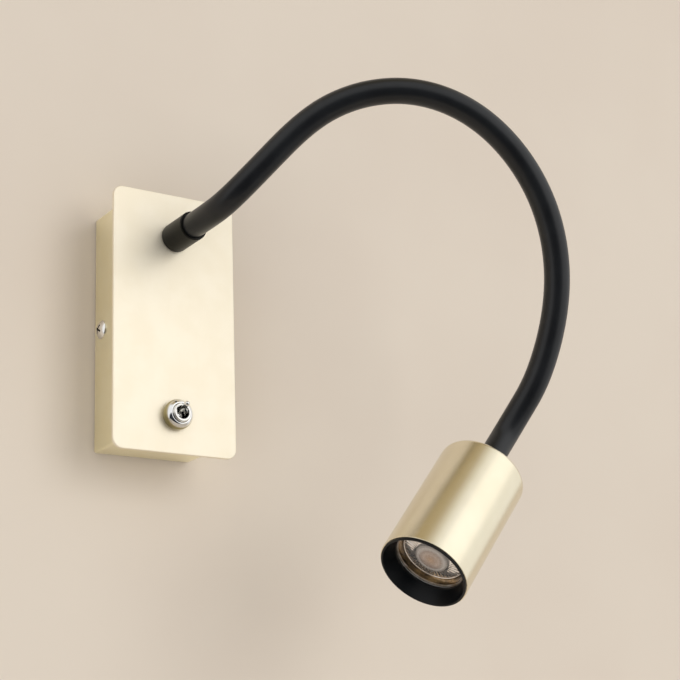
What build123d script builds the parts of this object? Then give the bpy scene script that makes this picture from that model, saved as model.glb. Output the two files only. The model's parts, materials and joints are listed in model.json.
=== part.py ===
"""Bedside wall reading lamp: a wall box with a toggle switch, a flexible neck and a spot head.

Millimetres. X runs to the right along the wall and Z up. The wall is the plane Y = 0 and the room is at
-Y, so a distance "out" is measured from the wall towards the room. The origin is midway between the two
wall screws. Threads are plain cylinders at their nominal size.
"""

import os
from math import cos, pi, radians, sin, tan

from build123d import *

os.makedirs("parts", exist_ok=True)

# ---------------------------------------------------------------- driving dimensions
# Wall box: front plate, cover behind it, bracket on the wall
total_depth = 47.0  # wall to the front of the plate
plate_width = 85.0
plate_height = 170.0
plate_thickness = 2.0
plate_corner = 6.5
plate_edge = 0.5  # rounding of the plate's front edge
cover_width = 67.0
cover_height = 156.0
cover_sheet = 1.2
cover_corner = 1.6
wall_gap = 1.0  # shadow gap between the cover's rim and the wall
bracket_width = 56.0
bracket_height = 130.0
bracket_sheet = 1.5
bracket_corner = 5.0
ear_height = 22.0
ear_depth = 15.0
ear_bend = 2.0  # outside radius where an ear folds forward
slot_spacing = 100.0  # wall screws, one above the other
slot_length = 12.0
slot_width = 4.5
cable_hole_radius = 8.0
cable_hole_height = -12.0
grommet_bore = 4.5  # radius for the supply cable
grommet_flange = 10.0
grommet_lip = 2.0
earth_point = (20.0, -34.0)
earth_head_radius = 3.6
lug_thickness = 0.8
lug_barrel_radius = 1.8
lug_barrel_start = 5.0
lug_barrel_length = 6.0
lug_overlap = 2.0  # of the lug's eye and its barrel

# Side screws
side_screw_out = 11.0
side_screw_radius = 2.0
side_screw_length = 8.0
side_head_radius = 6.0
side_head_height = 3.0
side_head_rim = 0.5
recess_width = 1.2
recess_span = 6.4
recess_depth = 1.4
recess_turn = 35.0  # of the cross, from the vertical

# Terminal block
block_width = 32.0
block_height = 17.0
block_depth = 13.0
block_corner = 1.5
block_centre = 12.0
block_poles = 3
pole_pitch = 10.0
entry_radius = 1.8
entry_depth = 6.0
terminal_screw_radius = 1.7
terminal_screw_length = 4.0
terminal_row = 4.6  # terminal screws above and below the block's middle
fixing_radius = 1.5
fixing_head_radius = 2.7
fixing_head_height = 1.8

# Neck: collar at the plate, threaded fitting at each end, spring spine in a rubber sleeve
neck_inset = 22.4  # its middle below the cover's top
collar_radius = 9.5
collar_length = 26.0
collar_floor = 3.0
collar_base_round = 1.5
collar_end_round = 0.6
sleeve_radius = 8.0
sleeve_bore = 6.15
spine_radius = 6.0
spine_bore = 3.8
neck_thread_radius = 5.0
fitting_bore = 3.0
shoulder_length = 12.0
stub_length = 8.0
head_end_straight = 2.0  # of the neck, past the head's fitting
nut_flats = 14.0
nut_thickness = 4.0
nut_chamfer = 0.6
washer_radius = 8.5
washer_thickness = 0.8
washer_teeth = 12
washer_gap = 1.0
thread_past_nut = 1.2
cable_radius = 2.6
core_radius = 1.2
core_spacing = 1.3  # each core's centre from the cable's centre
cable_drop_out = 21.0
cable_bend = 9.0
cable_tail = 1.0  # straight end of the cable, below its bend
cable_into_head = 10.0

# Toggle switch
switch_inset = 17.0  # its middle above the cover's bottom
bushing_radius = 5.95
bushing_bore = 4.2
bushing_reach = 10.0  # in front of the plate
bushing_flange = 7.2
bushing_chamfer = 0.7
keyway_width = 1.8
keyway_depth = 0.8
dress_base_radius = 9.0
dress_belly_radius = 9.6
dress_belly_height = 3.4
dress_front_radius = 7.0
dress_height = 8.2
back_nut_flats = 15.0
back_nut_thickness = 2.4
switch_frame_gap = 2.0  # back nut to the switch's metal frame
switch_frame_thickness = 1.0
switch_width = 15.0
switch_length = 29.0
switch_depth = 19.0
switch_corner = 1.0
tag_thickness = 0.8
tag_width = 4.8
tag_length = 7.0
tag_root = 3.5  # part of a tag that sits in the switch's body
tag_joint = 4.2  # where a lead is soldered, behind the switch's back
tag_offset = 8.0  # solder tags above and below the switch's middle
lever_pivot_depth = 10.0  # inside the bushing's mouth
lever_length = 17.5
lever_root_radius = 1.2
lever_tip_radius = 1.75
lever_tail = 9.0
lever_angle = 15.0  # degrees above the horizontal, the "on" side

# Leads inside the wall box
core_drop = 9.0  # straight below the cable's end
core_straight = 2.0  # least straight run at either end
neutral_rise = 6.0  # its bend above the terminals
supply_drop = 8.0  # its bend below the terminals
supply_sway = (3.0, 2.0)  # to the left of its terminal, at its two bends
supply_lane = 20.0  # length of its run down to the upper tag
earth_drop = 6.0
earth_rise = 12.0  # its bend above the lug's barrel
lane_left = 22.0  # how far left of the middle the switched lead runs down
lane_top_out = 19.0
lane_foot_out = 15.0
lane_top_drop = 2.0  # its top bend below the block's top
lane_foot_rise = 18.0  # its foot above the upper tag
lane_turn = 2.0

# Spot head, measured along its own axis from its closed end
head_radius = 27.0
head_wall = 1.3
head_cap = 2.0
head_round = 3.0
head_tube_length = 85.3
ring_lip = 1.2
ring_inset = 0.25  # lip's rim inside the tube's outside
ring_edge = 0.3
ring_mouth_radius = 25.2
ring_throat_radius = 21.3
ring_depth = 9.4  # skirt inside the tube
ring_land = 1.6  # straight part of the throat
lamp_radius = 25.0
lamp_inset = 10.1  # lamp's front inside the tube's end
lamp_edge = 0.6
lamp_base_radius = 12.0
lamp_base_length = 12.0
lamp_shoulder = 1.5
flare_sag = 1.2
lamp_wall = 2.2
lamp_cup_depth = 14.0
board_radius = 17.0
board_thickness = 1.6
emitter_radius = 4.5
emitter_thickness = 0.9
lens_recess = 0.8
lens_flange = 3.1  # width of the flat rim round the optic
lens_draft = 1.4  # how far the trough's wall leans in
trough_depth = 3.6
trough_rise = 2.1  # of its floor, towards the dome
lens_floor = 1.6
lens_dome_radius = 10.0
lens_dome_foot = 0.6  # groove round the dome
lens_dome_rim = 0.3  # dome's rim in front of the flat rim
lens_dome_height = 1.4
lens_cone_radius = 5.4
lens_cone_flare = 0.8
pin_spacing = 10.0
pin_neck_radius = 1.6
pin_head_radius = 2.4
pin_edge = 0.5
pin_neck_length = 4.6
pin_head_length = 2.4
holder_radius = 15.0
holder_height = 12.0
holder_skin = 2.6
holder_round = 1.0
slot_neck_width = 3.8
slot_head_width = 5.6
twist_angle = 20.0  # degrees from locked to free
hanger_height = 14.4  # head's cap to the holder's back
hanger_width = 14.0
hanger_sheet = 1.4
hanger_half_span = 17.4
hanger_foot_margin = 2.4  # foot's end past the holder's screw
holder_screw_reach = 11.8
holder_screw_radius = 1.5
holder_screw_head = 2.7
holder_screw_head_height = 1.8
holder_screw_length = 7.0
holder_entry_reach = 4.0

# Clearances
thread_clearance = 0.03
slip_clearance = 0.1
hole_clearance = 0.25
seat_clearance = 0.3

# ---------------------------------------------------------------- derived places
plate_back = total_depth - plate_thickness
cover_front = plate_back
cover_inside = cover_front - cover_sheet
washer_back = cover_inside - washer_thickness
neck_nut_back = washer_back - nut_thickness
neck_thread_end = neck_nut_back - thread_past_nut
shoulder_start = total_depth + collar_floor
spine_start = shoulder_start + shoulder_length
cover_half_width = cover_width / 2
neck_height = cover_height / 2 - neck_inset
switch_height = switch_inset - cover_height / 2
block_front = bracket_sheet + block_depth
pole_positions = [pole_pitch * (i - (block_poles - 1) / 2) for i in range(block_poles)]
back_nut_back = washer_back - back_nut_thickness
frame_front = back_nut_back - switch_frame_gap
switch_front = frame_front - switch_frame_thickness
switch_back = switch_front - switch_depth
bushing_front = total_depth + bushing_reach
lever_pivot_out = bushing_front - lever_pivot_depth

# Neck route: corners as (right, out from the plate, above the neck's hole), chosen from the lamp's pose
neck_corners = [
    (0, 68.0, 0),
    (20.5, 89.5, 28),
    (46, 112.0, 58),
    (89.5, 137.5, 70),
    (137, 153.5, 52),
    (175.5, 158.0, 6.5),
    (190, 149.5, -49),
    (184.5, 130.5, -101.5),
    (170, 110.5, -135.5),
    (146.5, 115.0, -163),
]


def at(right, out, up):
    """Point in the lamp's frame from its distance right, out of the wall and up."""
    return Vector(right, -out, up)


def in_front_of_plate(right, out, up):
    """Point measured from where the neck leaves the front plate."""
    return at(right, total_depth + out, neck_height + up)


neck_points = [in_front_of_plate(*corner) for corner in neck_corners]
head_top = neck_points[-1]
head_direction = (neck_points[-1] - neck_points[-2]).normalized()
head_side = head_direction.cross(Vector(0, 0, 1)).normalized()


def facing_room(out, right=0.0, up=0.0):
    """Plane parallel to the wall: local x to the right, local y up, extruding towards the room."""
    return Plane(origin=at(right, out, up), x_dir=(1, 0, 0), z_dir=(0, -1, 0))


def half_section(origin, radial, along):
    """Plane of a turned piece's half profile: local x is its radius, local y runs along its axis."""
    return Plane(origin=origin, x_dir=radial, z_dir=Vector(radial).cross(Vector(along)))


def head_plane(depth):
    """Plane across the head's axis, depth below the closed end, extruding towards the mouth."""
    return Plane(origin=head_top + head_direction * depth, x_dir=head_side, z_dir=head_direction)


def bend_radii(points, straight_start, straight_end):
    """Largest arc at each corner of a route, keeping straight ends of the given lengths."""
    runs = [end - start for start, end in zip(points, points[1:])]
    share = 0.49
    radii = []
    for i, (before, after) in enumerate(zip(runs, runs[1:])):
        reach_before = before.length - straight_start if i == 0 else share * before.length
        reach_after = after.length - straight_end if i == len(runs) - 2 else share * after.length
        half_turn = radians(before.get_angle(after) / 2)
        radii.append(min(reach_before, reach_after) / tan(half_turn))
    return radii


def report_tube(name, part, line, area):
    """Prints how a swept tube's volume compares with its section times its length."""
    length = sum(edge.length for edge in line.edges())
    print(name, "length", round(length, 1), "volume ratio", round(part.volume / (area * length), 5))


def save(builder, name):
    """Labels a finished piece and writes it to its own file."""
    builder.part.label = name
    export_step(builder.part, f"parts/{name}.step")


neck_axis = Axis(at(0, 0, neck_height), (0, -1, 0))
neck_section = half_section(at(0, 0, neck_height), (1, 0, 0), (0, -1, 0))
switch_axis = Axis(at(0, 0, switch_height), (0, -1, 0))
switch_section = half_section(at(0, 0, switch_height), (1, 0, 0), (0, -1, 0))
head_axis = Axis(head_top, head_direction)
head_section = half_section(head_top, head_side, head_direction)

# ---------------------------------------------------------------- wall bracket and what it carries
ear_outside = cover_half_width - cover_sheet - slip_clearance

with BuildPart() as wall_bracket:
    with BuildSketch(facing_room(0)):
        RectangleRounded(bracket_width, bracket_height, bracket_corner)
        Rectangle(2 * (ear_outside - ear_bend), ear_height)
        with GridLocations(0, slot_spacing, 1, 2):
            SlotOverall(slot_length, slot_width, rotation=90, mode=Mode.SUBTRACT)
        with Locations((0, cable_hole_height)):
            Circle(cable_hole_radius, mode=Mode.SUBTRACT)
        with Locations(earth_point):
            Circle(side_screw_radius + thread_clearance, mode=Mode.SUBTRACT)
        with Locations((pole_pitch / 2, block_centre)):
            Circle(fixing_radius + thread_clearance, mode=Mode.SUBTRACT)
    extrude(amount=bracket_sheet)
    with BuildSketch(Plane.XY.offset(-ear_height / 2)):
        with BuildLine():
            for side in (-1, 1):
                fold = side * (ear_outside - ear_bend)
                inner_fold = ear_bend - bracket_sheet
                Line((fold, 0), (fold, -bracket_sheet))
                outer = CenterArc((fold, -ear_bend), ear_bend, 90, -90 * side)
                inner = CenterArc((fold, -ear_bend), inner_fold, 90, -90 * side)
                Polyline(
                    outer @ 1,
                    (side * ear_outside, -ear_depth),
                    (side * (ear_outside - bracket_sheet), -ear_depth),
                    inner @ 1,
                )
        make_face()
    extrude(amount=ear_height)
    with Locations(Plane(origin=at(0, side_screw_out, 0), z_dir=(1, 0, 0))):
        Cylinder(side_screw_radius + thread_clearance, 2 * cover_width, mode=Mode.SUBTRACT)
save(wall_bracket, "wall_bracket")

with BuildPart() as cable_grommet:
    with BuildSketch(half_section(at(0, 0, cable_hole_height), (1, 0, 0), (0, -1, 0))):
        with BuildLine():
            Polyline(
                (grommet_bore, 0),
                (cable_hole_radius - slip_clearance, 0),
                (cable_hole_radius - slip_clearance, bracket_sheet),
                (grommet_flange, bracket_sheet),
                (grommet_flange - grommet_lip / 2, bracket_sheet + grommet_lip),
                (grommet_bore, bracket_sheet + grommet_lip),
                close=True,
            )
        make_face()
    revolve(axis=Axis(at(0, 0, cable_hole_height), (0, -1, 0)))
save(cable_grommet, "cable_grommet")

entry_out = bracket_sheet + block_depth / 2
with BuildPart() as terminal_block:
    with BuildSketch(facing_room(bracket_sheet, 0, block_centre)):
        RectangleRounded(block_width, block_height, block_corner)
    extrude(amount=block_depth)
    with BuildSketch(facing_room(block_front, 0, block_centre)):
        with Locations(*[(x, y) for x in pole_positions for y in (-terminal_row, terminal_row)]):
            Circle(terminal_screw_radius + slip_clearance)
        with Locations((pole_pitch / 2, 0)):
            Circle(fixing_head_radius + hole_clearance)
    extrude(amount=-terminal_screw_length, mode=Mode.SUBTRACT)
    with BuildSketch(facing_room(bracket_sheet, pole_pitch / 2, block_centre)):
        Circle(fixing_radius + slip_clearance)
    extrude(amount=block_depth, mode=Mode.SUBTRACT)
    for end, into in ((block_height / 2, -entry_depth), (-block_height / 2, entry_depth)):
        with BuildSketch(Plane.XY.offset(block_centre + end)):
            with Locations(*[(x, -entry_out) for x in pole_positions]):
                Circle(entry_radius)
        extrude(amount=into, mode=Mode.SUBTRACT)
save(terminal_block, "terminal_block")

with BuildPart() as terminal_screws:
    with BuildSketch(facing_room(block_front - terminal_screw_length, 0, block_centre)):
        with Locations(*[(x, y) for x in pole_positions for y in (-terminal_row, terminal_row)]):
            Circle(terminal_screw_radius)
    extrude(amount=terminal_screw_length - recess_depth / 2)
    with BuildSketch(facing_room(block_front - recess_depth / 2, 0, block_centre)):
        with Locations(*[(x, y) for x in pole_positions for y in (-terminal_row, terminal_row)]):
            Rectangle(4 * terminal_screw_radius, recess_width / 2)
    extrude(amount=-recess_depth / 2, mode=Mode.SUBTRACT)
save(terminal_screws, "terminal_screws")

with BuildPart() as block_screw:
    with BuildSketch(facing_room(0, pole_pitch / 2, block_centre)):
        Circle(fixing_radius)
    extrude(amount=block_front - terminal_screw_length)
    with BuildSketch(facing_room(block_front - terminal_screw_length, pole_pitch / 2, block_centre)):
        Circle(fixing_head_radius)
    extrude(amount=fixing_head_height)
    fillet(block_screw.faces().sort_by(Axis.Y)[0].edges(), fixing_head_height / 3)
save(block_screw, "block_screw")

lug_strip = lug_barrel_start + lug_overlap
lug_barrel_out = bracket_sheet + lug_barrel_radius + seat_clearance
with BuildPart() as earth_lug:
    with BuildSketch(facing_room(bracket_sheet, *earth_point)):
        Circle(2 * side_screw_radius)
        with Locations((0, lug_strip / 2)):
            Rectangle(2 * side_screw_radius, lug_strip)
        Circle(side_screw_radius + slip_clearance, mode=Mode.SUBTRACT)
    extrude(amount=lug_thickness)
    with BuildSketch(Plane.XY.offset(earth_point[1] + lug_barrel_start)):
        with Locations((earth_point[0], -lug_barrel_out)):
            Circle(lug_barrel_radius)
    extrude(amount=lug_barrel_length)
save(earth_lug, "earth_lug")

with BuildPart() as earth_screw:
    with BuildSketch(facing_room(0, *earth_point)):
        Circle(side_screw_radius)
    extrude(amount=bracket_sheet + lug_thickness)
    with BuildSketch(facing_room(bracket_sheet + lug_thickness, *earth_point)):
        Circle(earth_head_radius)
    extrude(amount=side_head_height)
    fillet(earth_screw.faces().sort_by(Axis.Y)[0].edges(), side_head_height / 3)
save(earth_screw, "earth_screw")

# ---------------------------------------------------------------- cover and front plate
with BuildPart() as cover_box:
    with BuildSketch(facing_room(wall_gap)):
        RectangleRounded(cover_width, cover_height, cover_corner)
    extrude(amount=cover_front - wall_gap)
    with BuildSketch(facing_room(wall_gap)):
        inside_width = cover_width - 2 * cover_sheet
        inside_height = cover_height - 2 * cover_sheet
        RectangleRounded(inside_width, inside_height, cover_corner - cover_sheet)
    extrude(amount=cover_inside - wall_gap, mode=Mode.SUBTRACT)
    with BuildSketch(facing_room(cover_inside)):
        with Locations((0, neck_height)):
            Circle(neck_thread_radius + hole_clearance)
        with Locations((0, switch_height)):
            Circle(bushing_radius + hole_clearance)
    extrude(amount=2 * cover_sheet, mode=Mode.SUBTRACT)
    with Locations(Plane(origin=at(0, side_screw_out, 0), z_dir=(1, 0, 0))):
        Cylinder(side_screw_radius + hole_clearance, 2 * cover_width, mode=Mode.SUBTRACT)
save(cover_box, "cover_box")

with BuildPart() as front_plate:
    with BuildSketch(facing_room(plate_back)):
        RectangleRounded(plate_width, plate_height, plate_corner)
        with Locations((0, neck_height)):
            Circle(neck_thread_radius + hole_clearance, mode=Mode.SUBTRACT)
        with Locations((0, switch_height)):
            Circle(bushing_radius + hole_clearance, mode=Mode.SUBTRACT)
    extrude(amount=plate_thickness)
    room_face = front_plate.faces().sort_by(Axis.Y)[0]
    fillet(room_face.outer_wire().edges(), plate_edge)
save(front_plate, "front_plate")

with BuildPart() as side_screws:
    for side in (-1, 1):
        head_seat = at(side * cover_half_width, side_screw_out, 0)
        with BuildSketch(half_section(head_seat, (0, 0, 1), (side, 0, 0))):
            with BuildLine():
                Polyline(
                    (0, side_head_height),
                    (0, -side_screw_length),
                    (side_screw_radius, -side_screw_length),
                    (side_screw_radius, 0),
                    (side_head_radius, 0),
                    (side_head_radius, side_head_rim),
                )
                TangentArc((0, side_head_height), (side_head_radius, side_head_rim), tangent=(1, 0))
            make_face()
        revolve(axis=Axis(head_seat, (side, 0, 0)))
        crown = Plane(origin=head_seat + Vector(side * side_head_height, 0, 0), z_dir=(side, 0, 0))
        with BuildSketch(crown):
            Rectangle(recess_span, recess_width, rotation=recess_turn)
            Rectangle(recess_width, recess_span, rotation=recess_turn)
        extrude(amount=-recess_depth, mode=Mode.SUBTRACT)
save(side_screws, "side_screws")

# ---------------------------------------------------------------- neck
def toothed_washer(inner_radius):
    """Sketch of a lock washer with teeth round its rim."""
    with BuildSketch() as washer:
        Circle(washer_radius)
        with PolarLocations(washer_radius, washer_teeth):
            Rectangle(2 * washer_gap, washer_gap, mode=Mode.SUBTRACT)
        Circle(inner_radius + slip_clearance, mode=Mode.SUBTRACT)
    return washer.sketch


def hex_nut_sketch(flats, hole_radius):
    """Sketch of a hexagon nut, flats to the sides."""
    with BuildSketch() as nut:
        RegularPolygon(flats / 2, 6, major_radius=False)
        Circle(hole_radius + thread_clearance, mode=Mode.SUBTRACT)
    return nut.sketch


with BuildPart() as neck_collar:
    with BuildSketch(neck_section):
        with BuildLine():
            bore = sleeve_radius + slip_clearance
            hole = neck_thread_radius + hole_clearance
            collar_end = total_depth + collar_length
            Polyline(
                (hole, total_depth),
                (collar_radius, total_depth),
                (collar_radius, collar_end),
                (bore, collar_end),
                (bore, shoulder_start),
                (hole, shoulder_start),
                close=True,
            )
        make_face()
    revolve(axis=neck_axis)
    outside = neck_collar.faces().filter_by(GeomType.CYLINDER).sort_by(SortBy.RADIUS)[-1].edges()
    fillet(outside.filter_by(GeomType.CIRCLE).sort_by(neck_axis)[0], collar_base_round)
    outside = neck_collar.faces().filter_by(GeomType.CYLINDER).sort_by(SortBy.RADIUS)[-1].edges()
    fillet(outside.filter_by(GeomType.CIRCLE).sort_by(neck_axis)[-1], collar_end_round)
save(neck_collar, "neck_collar")

with BuildPart() as neck_washer:
    with BuildSketch(facing_room(washer_back, 0, neck_height)):
        add(toothed_washer(neck_thread_radius))
    extrude(amount=washer_thickness)
save(neck_washer, "neck_washer")

with BuildPart() as neck_nut:
    with BuildSketch(facing_room(neck_nut_back, 0, neck_height)):
        add(hex_nut_sketch(nut_flats, neck_thread_radius))
    extrude(amount=nut_thickness)
    chamfer(neck_nut.faces().sort_by(Axis.Y)[-1].outer_wire().edges(), nut_chamfer)
save(neck_nut, "neck_nut")

with BuildPart() as base_fitting:
    with BuildSketch(neck_section):
        with BuildLine():
            Polyline(
                (fitting_bore, neck_thread_end),
                (neck_thread_radius, neck_thread_end),
                (neck_thread_radius, shoulder_start),
                (spine_radius, shoulder_start),
                (spine_radius, spine_start),
                (spine_bore - thread_clearance, spine_start),
                (spine_bore - thread_clearance, spine_start + stub_length),
                (fitting_bore, spine_start + stub_length),
                close=True,
            )
        make_face()
    revolve(axis=neck_axis)
save(base_fitting, "base_fitting")

# The three tubes of the neck share one route, so they bend about the same centres.
neck_first = at(0, shoulder_start, neck_height)
straight_start = shoulder_length + stub_length
straight_end = shoulder_length + stub_length + head_end_straight
neck_radii = bend_radii([neck_first, *neck_points], straight_start, straight_end)
print("neck radii", [round(r, 1) for r in neck_radii])


def neck_route(start, end):
    """Centre line of the neck from start along its first run to end past, or before, its last corner."""
    return FilletPolyline(
        start,
        *neck_points[:-1],
        head_top + head_direction * end,
        radius=neck_radii,
    )


with BuildPart() as neck_sleeve:
    with BuildLine() as sleeve_line:
        neck_route(neck_first, 0)
    with BuildSketch(Plane(origin=sleeve_line.line @ 0, z_dir=sleeve_line.line % 0)):
        Circle(sleeve_radius)
        Circle(sleeve_bore, mode=Mode.SUBTRACT)
    sweep(path=sleeve_line.line)
report_tube("neck_sleeve", neck_sleeve.part, sleeve_line.line, pi * (sleeve_radius**2 - sleeve_bore**2))
save(neck_sleeve, "neck_sleeve")

with BuildPart() as neck_spine:
    with BuildLine() as spine_line:
        neck_route(at(0, spine_start, neck_height), -shoulder_length)
    with BuildSketch(Plane(origin=spine_line.line @ 0, z_dir=spine_line.line % 0)):
        Circle(spine_radius)
        Circle(spine_bore, mode=Mode.SUBTRACT)
    sweep(path=spine_line.line)
report_tube("neck_spine", neck_spine.part, spine_line.line, pi * (spine_radius**2 - spine_bore**2))
save(neck_spine, "neck_spine")

cable_end_height = neck_height - cable_bend - cable_tail
with BuildPart() as neck_cable:
    with BuildLine() as cable_line:
        FilletPolyline(
            at(0, cable_drop_out, cable_end_height),
            at(0, cable_drop_out, neck_height),
            *neck_points[:-1],
            head_top + head_direction * cable_into_head,
            radius=[cable_bend, *neck_radii],
        )
    with BuildSketch(Plane(origin=cable_line.line @ 0, z_dir=cable_line.line % 0)):
        Circle(cable_radius)
    sweep(path=cable_line.line)
report_tube("neck_cable", neck_cable.part, cable_line.line, pi * cable_radius**2)
save(neck_cable, "neck_cable")

# ---------------------------------------------------------------- toggle switch
with BuildPart() as switch_bushing:
    with BuildSketch(switch_section):
        with BuildLine():
            Polyline(
                (bushing_bore, switch_front),
                (bushing_flange, switch_front),
                (bushing_flange, frame_front),
                (bushing_radius, frame_front),
                (bushing_radius, bushing_front - bushing_chamfer),
                (bushing_radius - bushing_chamfer, bushing_front),
                (bushing_bore + bushing_chamfer / 2, bushing_front),
                (bushing_bore, bushing_front - bushing_chamfer),
                close=True,
            )
        make_face()
    revolve(axis=switch_axis)
    with BuildSketch(facing_room(frame_front, 0, switch_height)):
        with Locations((0, bushing_radius)):
            Rectangle(keyway_width, 2 * keyway_depth)
    extrude(amount=bushing_front - frame_front, mode=Mode.SUBTRACT)
    with BuildSketch(facing_room(switch_front, 0, switch_height)):
        Rectangle(switch_width, switch_length)
        Circle(bushing_bore, mode=Mode.SUBTRACT)
    extrude(amount=switch_frame_thickness)
save(switch_bushing, "switch_bushing")

with BuildPart() as switch_body:
    with BuildSketch(facing_room(switch_back, 0, switch_height)):
        RectangleRounded(switch_width, switch_length, switch_corner)
    extrude(amount=switch_depth)
    with BuildSketch(facing_room(switch_front, 0, switch_height)):
        Circle(bushing_bore + hole_clearance)
    extrude(amount=-lever_tail, mode=Mode.SUBTRACT)
    with BuildSketch(facing_room(switch_back, 0, switch_height)):
        with Locations((0, -tag_offset), (0, tag_offset)):
            Rectangle(tag_thickness + 2 * slip_clearance, tag_width + 2 * slip_clearance)
    extrude(amount=tag_root, mode=Mode.SUBTRACT)
save(switch_body, "switch_body")

with BuildPart() as switch_tags:
    with BuildSketch(facing_room(switch_back + tag_root, 0, switch_height)):
        with Locations((0, -tag_offset), (0, tag_offset)):
            Rectangle(tag_thickness, tag_width)
    extrude(amount=-tag_root - tag_length)
save(switch_tags, "switch_tags")

with BuildPart() as switch_washer:
    with BuildSketch(facing_room(washer_back, 0, switch_height)):
        add(toothed_washer(bushing_radius))
    extrude(amount=washer_thickness)
save(switch_washer, "switch_washer")

with BuildPart() as switch_back_nut:
    with BuildSketch(facing_room(back_nut_back, 0, switch_height)):
        add(hex_nut_sketch(back_nut_flats, bushing_radius))
    extrude(amount=back_nut_thickness)
    chamfer(switch_back_nut.faces().sort_by(Axis.Y)[-1].outer_wire().edges(), nut_chamfer)
save(switch_back_nut, "switch_back_nut")

with BuildPart() as dress_nut:
    with BuildSketch(switch_section):
        with BuildLine():
            hole = bushing_radius + thread_clearance
            base = (dress_base_radius, total_depth)
            belly = (dress_belly_radius, total_depth + dress_belly_height)
            front = (dress_front_radius, total_depth + dress_height)
            Polyline(front, (hole, total_depth + dress_height), (hole, total_depth), base)
            TangentArc(belly, base, tangent=(0, -1))
            TangentArc(belly, front, tangent=(0, 1))
        make_face()
    revolve(axis=switch_axis)
save(dress_nut, "dress_nut")

lever_pivot = at(0, lever_pivot_out, switch_height)
lever_direction = Vector(0, -cos(radians(lever_angle)), sin(radians(lever_angle)))
ball_radius = bushing_bore - slip_clearance
with BuildPart() as toggle_lever:
    with BuildSketch(half_section(lever_pivot, (1, 0, 0), lever_direction)):
        with BuildLine():
            ball_reach = (ball_radius**2 - lever_root_radius**2) ** 0.5
            tip_start = lever_length - lever_tip_radius
            tail_start = (0, -lever_tail)
            Polyline(
                (0, lever_length),
                tail_start,
                (lever_root_radius, -lever_tail),
                (lever_root_radius, -ball_reach),
            )
            ThreePointArc(
                (lever_root_radius, -ball_reach), (ball_radius, 0), (lever_root_radius, ball_reach)
            )
            Line((lever_root_radius, ball_reach), (lever_tip_radius, tip_start))
            tip_centre = (0, tip_start)
            CenterArc(tip_centre, lever_tip_radius, 0, 90)
        make_face()
    revolve(axis=Axis(lever_pivot, lever_direction))
save(toggle_lever, "toggle_lever")

# ---------------------------------------------------------------- leads inside the wall box
def lead(points, end_straight):
    """Route of a single core, with the largest bends that its runs allow."""
    return FilletPolyline(*points, radius=bend_radii(points, end_straight, end_straight))


core_out = cable_drop_out
entry_top = block_centre + block_height / 2
entry_bottom = block_centre - block_height / 2
entry_stop = entry_depth - seat_clearance
tag_out = switch_back - tag_joint
upper_tag = switch_height + tag_offset
lower_tag = switch_height - tag_offset
tag_face = tag_thickness / 2

neutral_points = [
    at(core_spacing, core_out, cable_end_height),
    at(core_spacing, core_out, cable_end_height - core_drop),
    at(pole_positions[-1], entry_out, entry_top + neutral_rise),
    at(pole_positions[-1], entry_out, entry_top - entry_stop),
]
with BuildPart() as neutral_lead:
    with BuildLine() as neutral_line:
        lead(neutral_points, core_straight)
    with BuildSketch(Plane(origin=neutral_line.line @ 0, z_dir=neutral_line.line % 0)):
        Circle(core_radius)
    sweep(path=neutral_line.line)
report_tube("neutral_lead", neutral_lead.part, neutral_line.line, pi * core_radius**2)
save(neutral_lead, "neutral_lead")

switched_points = [
    at(-core_spacing, core_out, cable_end_height),
    at(-core_spacing, core_out, cable_end_height - core_drop),
    at(-lane_left, lane_top_out, entry_top - lane_top_drop),
    at(-lane_left, lane_foot_out, upper_tag + lane_foot_rise),
    at(lane_turn - lane_left, tag_out, lower_tag),
    at(-tag_face, tag_out, lower_tag),
]
with BuildPart() as switched_lead:
    with BuildLine() as switched_line:
        lead(switched_points, core_straight)
    with BuildSketch(Plane(origin=switched_line.line @ 0, z_dir=switched_line.line % 0)):
        Circle(core_radius)
    sweep(path=switched_line.line)
report_tube("switched_lead", switched_lead.part, switched_line.line, pi * core_radius**2)
save(switched_lead, "switched_lead")

supply_points = [
    at(pole_positions[0], entry_out, entry_bottom + entry_stop),
    at(pole_positions[0], entry_out, entry_bottom - supply_drop),
    at(pole_positions[0] - supply_sway[0], tag_out, upper_tag + supply_lane),
    at(pole_positions[0] - supply_sway[1], tag_out, upper_tag),
    at(-tag_face, tag_out, upper_tag),
]
with BuildPart() as supply_lead:
    with BuildLine() as supply_line:
        lead(supply_points, core_straight)
    with BuildSketch(Plane(origin=supply_line.line @ 0, z_dir=supply_line.line % 0)):
        Circle(core_radius)
    sweep(path=supply_line.line)
report_tube("supply_lead", supply_lead.part, supply_line.line, pi * core_radius**2)
save(supply_lead, "supply_lead")

lug_entry = earth_point[1] + lug_barrel_start + lug_barrel_length
earth_points = [
    at(0, entry_out, entry_bottom + entry_stop),
    at(0, entry_out, entry_bottom - earth_drop),
    at(earth_point[0], lug_barrel_out, lug_entry + earth_rise),
    at(earth_point[0], lug_barrel_out, lug_entry),
]
with BuildPart() as earth_lead:
    with BuildLine() as earth_line:
        lead(earth_points, core_straight)
    with BuildSketch(Plane(origin=earth_line.line @ 0, z_dir=earth_line.line % 0)):
        Circle(core_radius)
    sweep(path=earth_line.line)
report_tube("earth_lead", earth_lead.part, earth_line.line, pi * core_radius**2)
save(earth_lead, "earth_lead")

# ---------------------------------------------------------------- spot head
head_bore = head_radius - head_wall
hanger_top = head_cap
head_washer_top = hanger_top + hanger_sheet
head_nut_top = head_washer_top + washer_thickness
head_thread_end = head_nut_top + nut_thickness + thread_past_nut
holder_back = hanger_top + hanger_height
holder_front = holder_back + holder_height
lamp_back = holder_front + seat_clearance
lamp_front = head_tube_length - lamp_inset
pin_half = pin_spacing / 2

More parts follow.
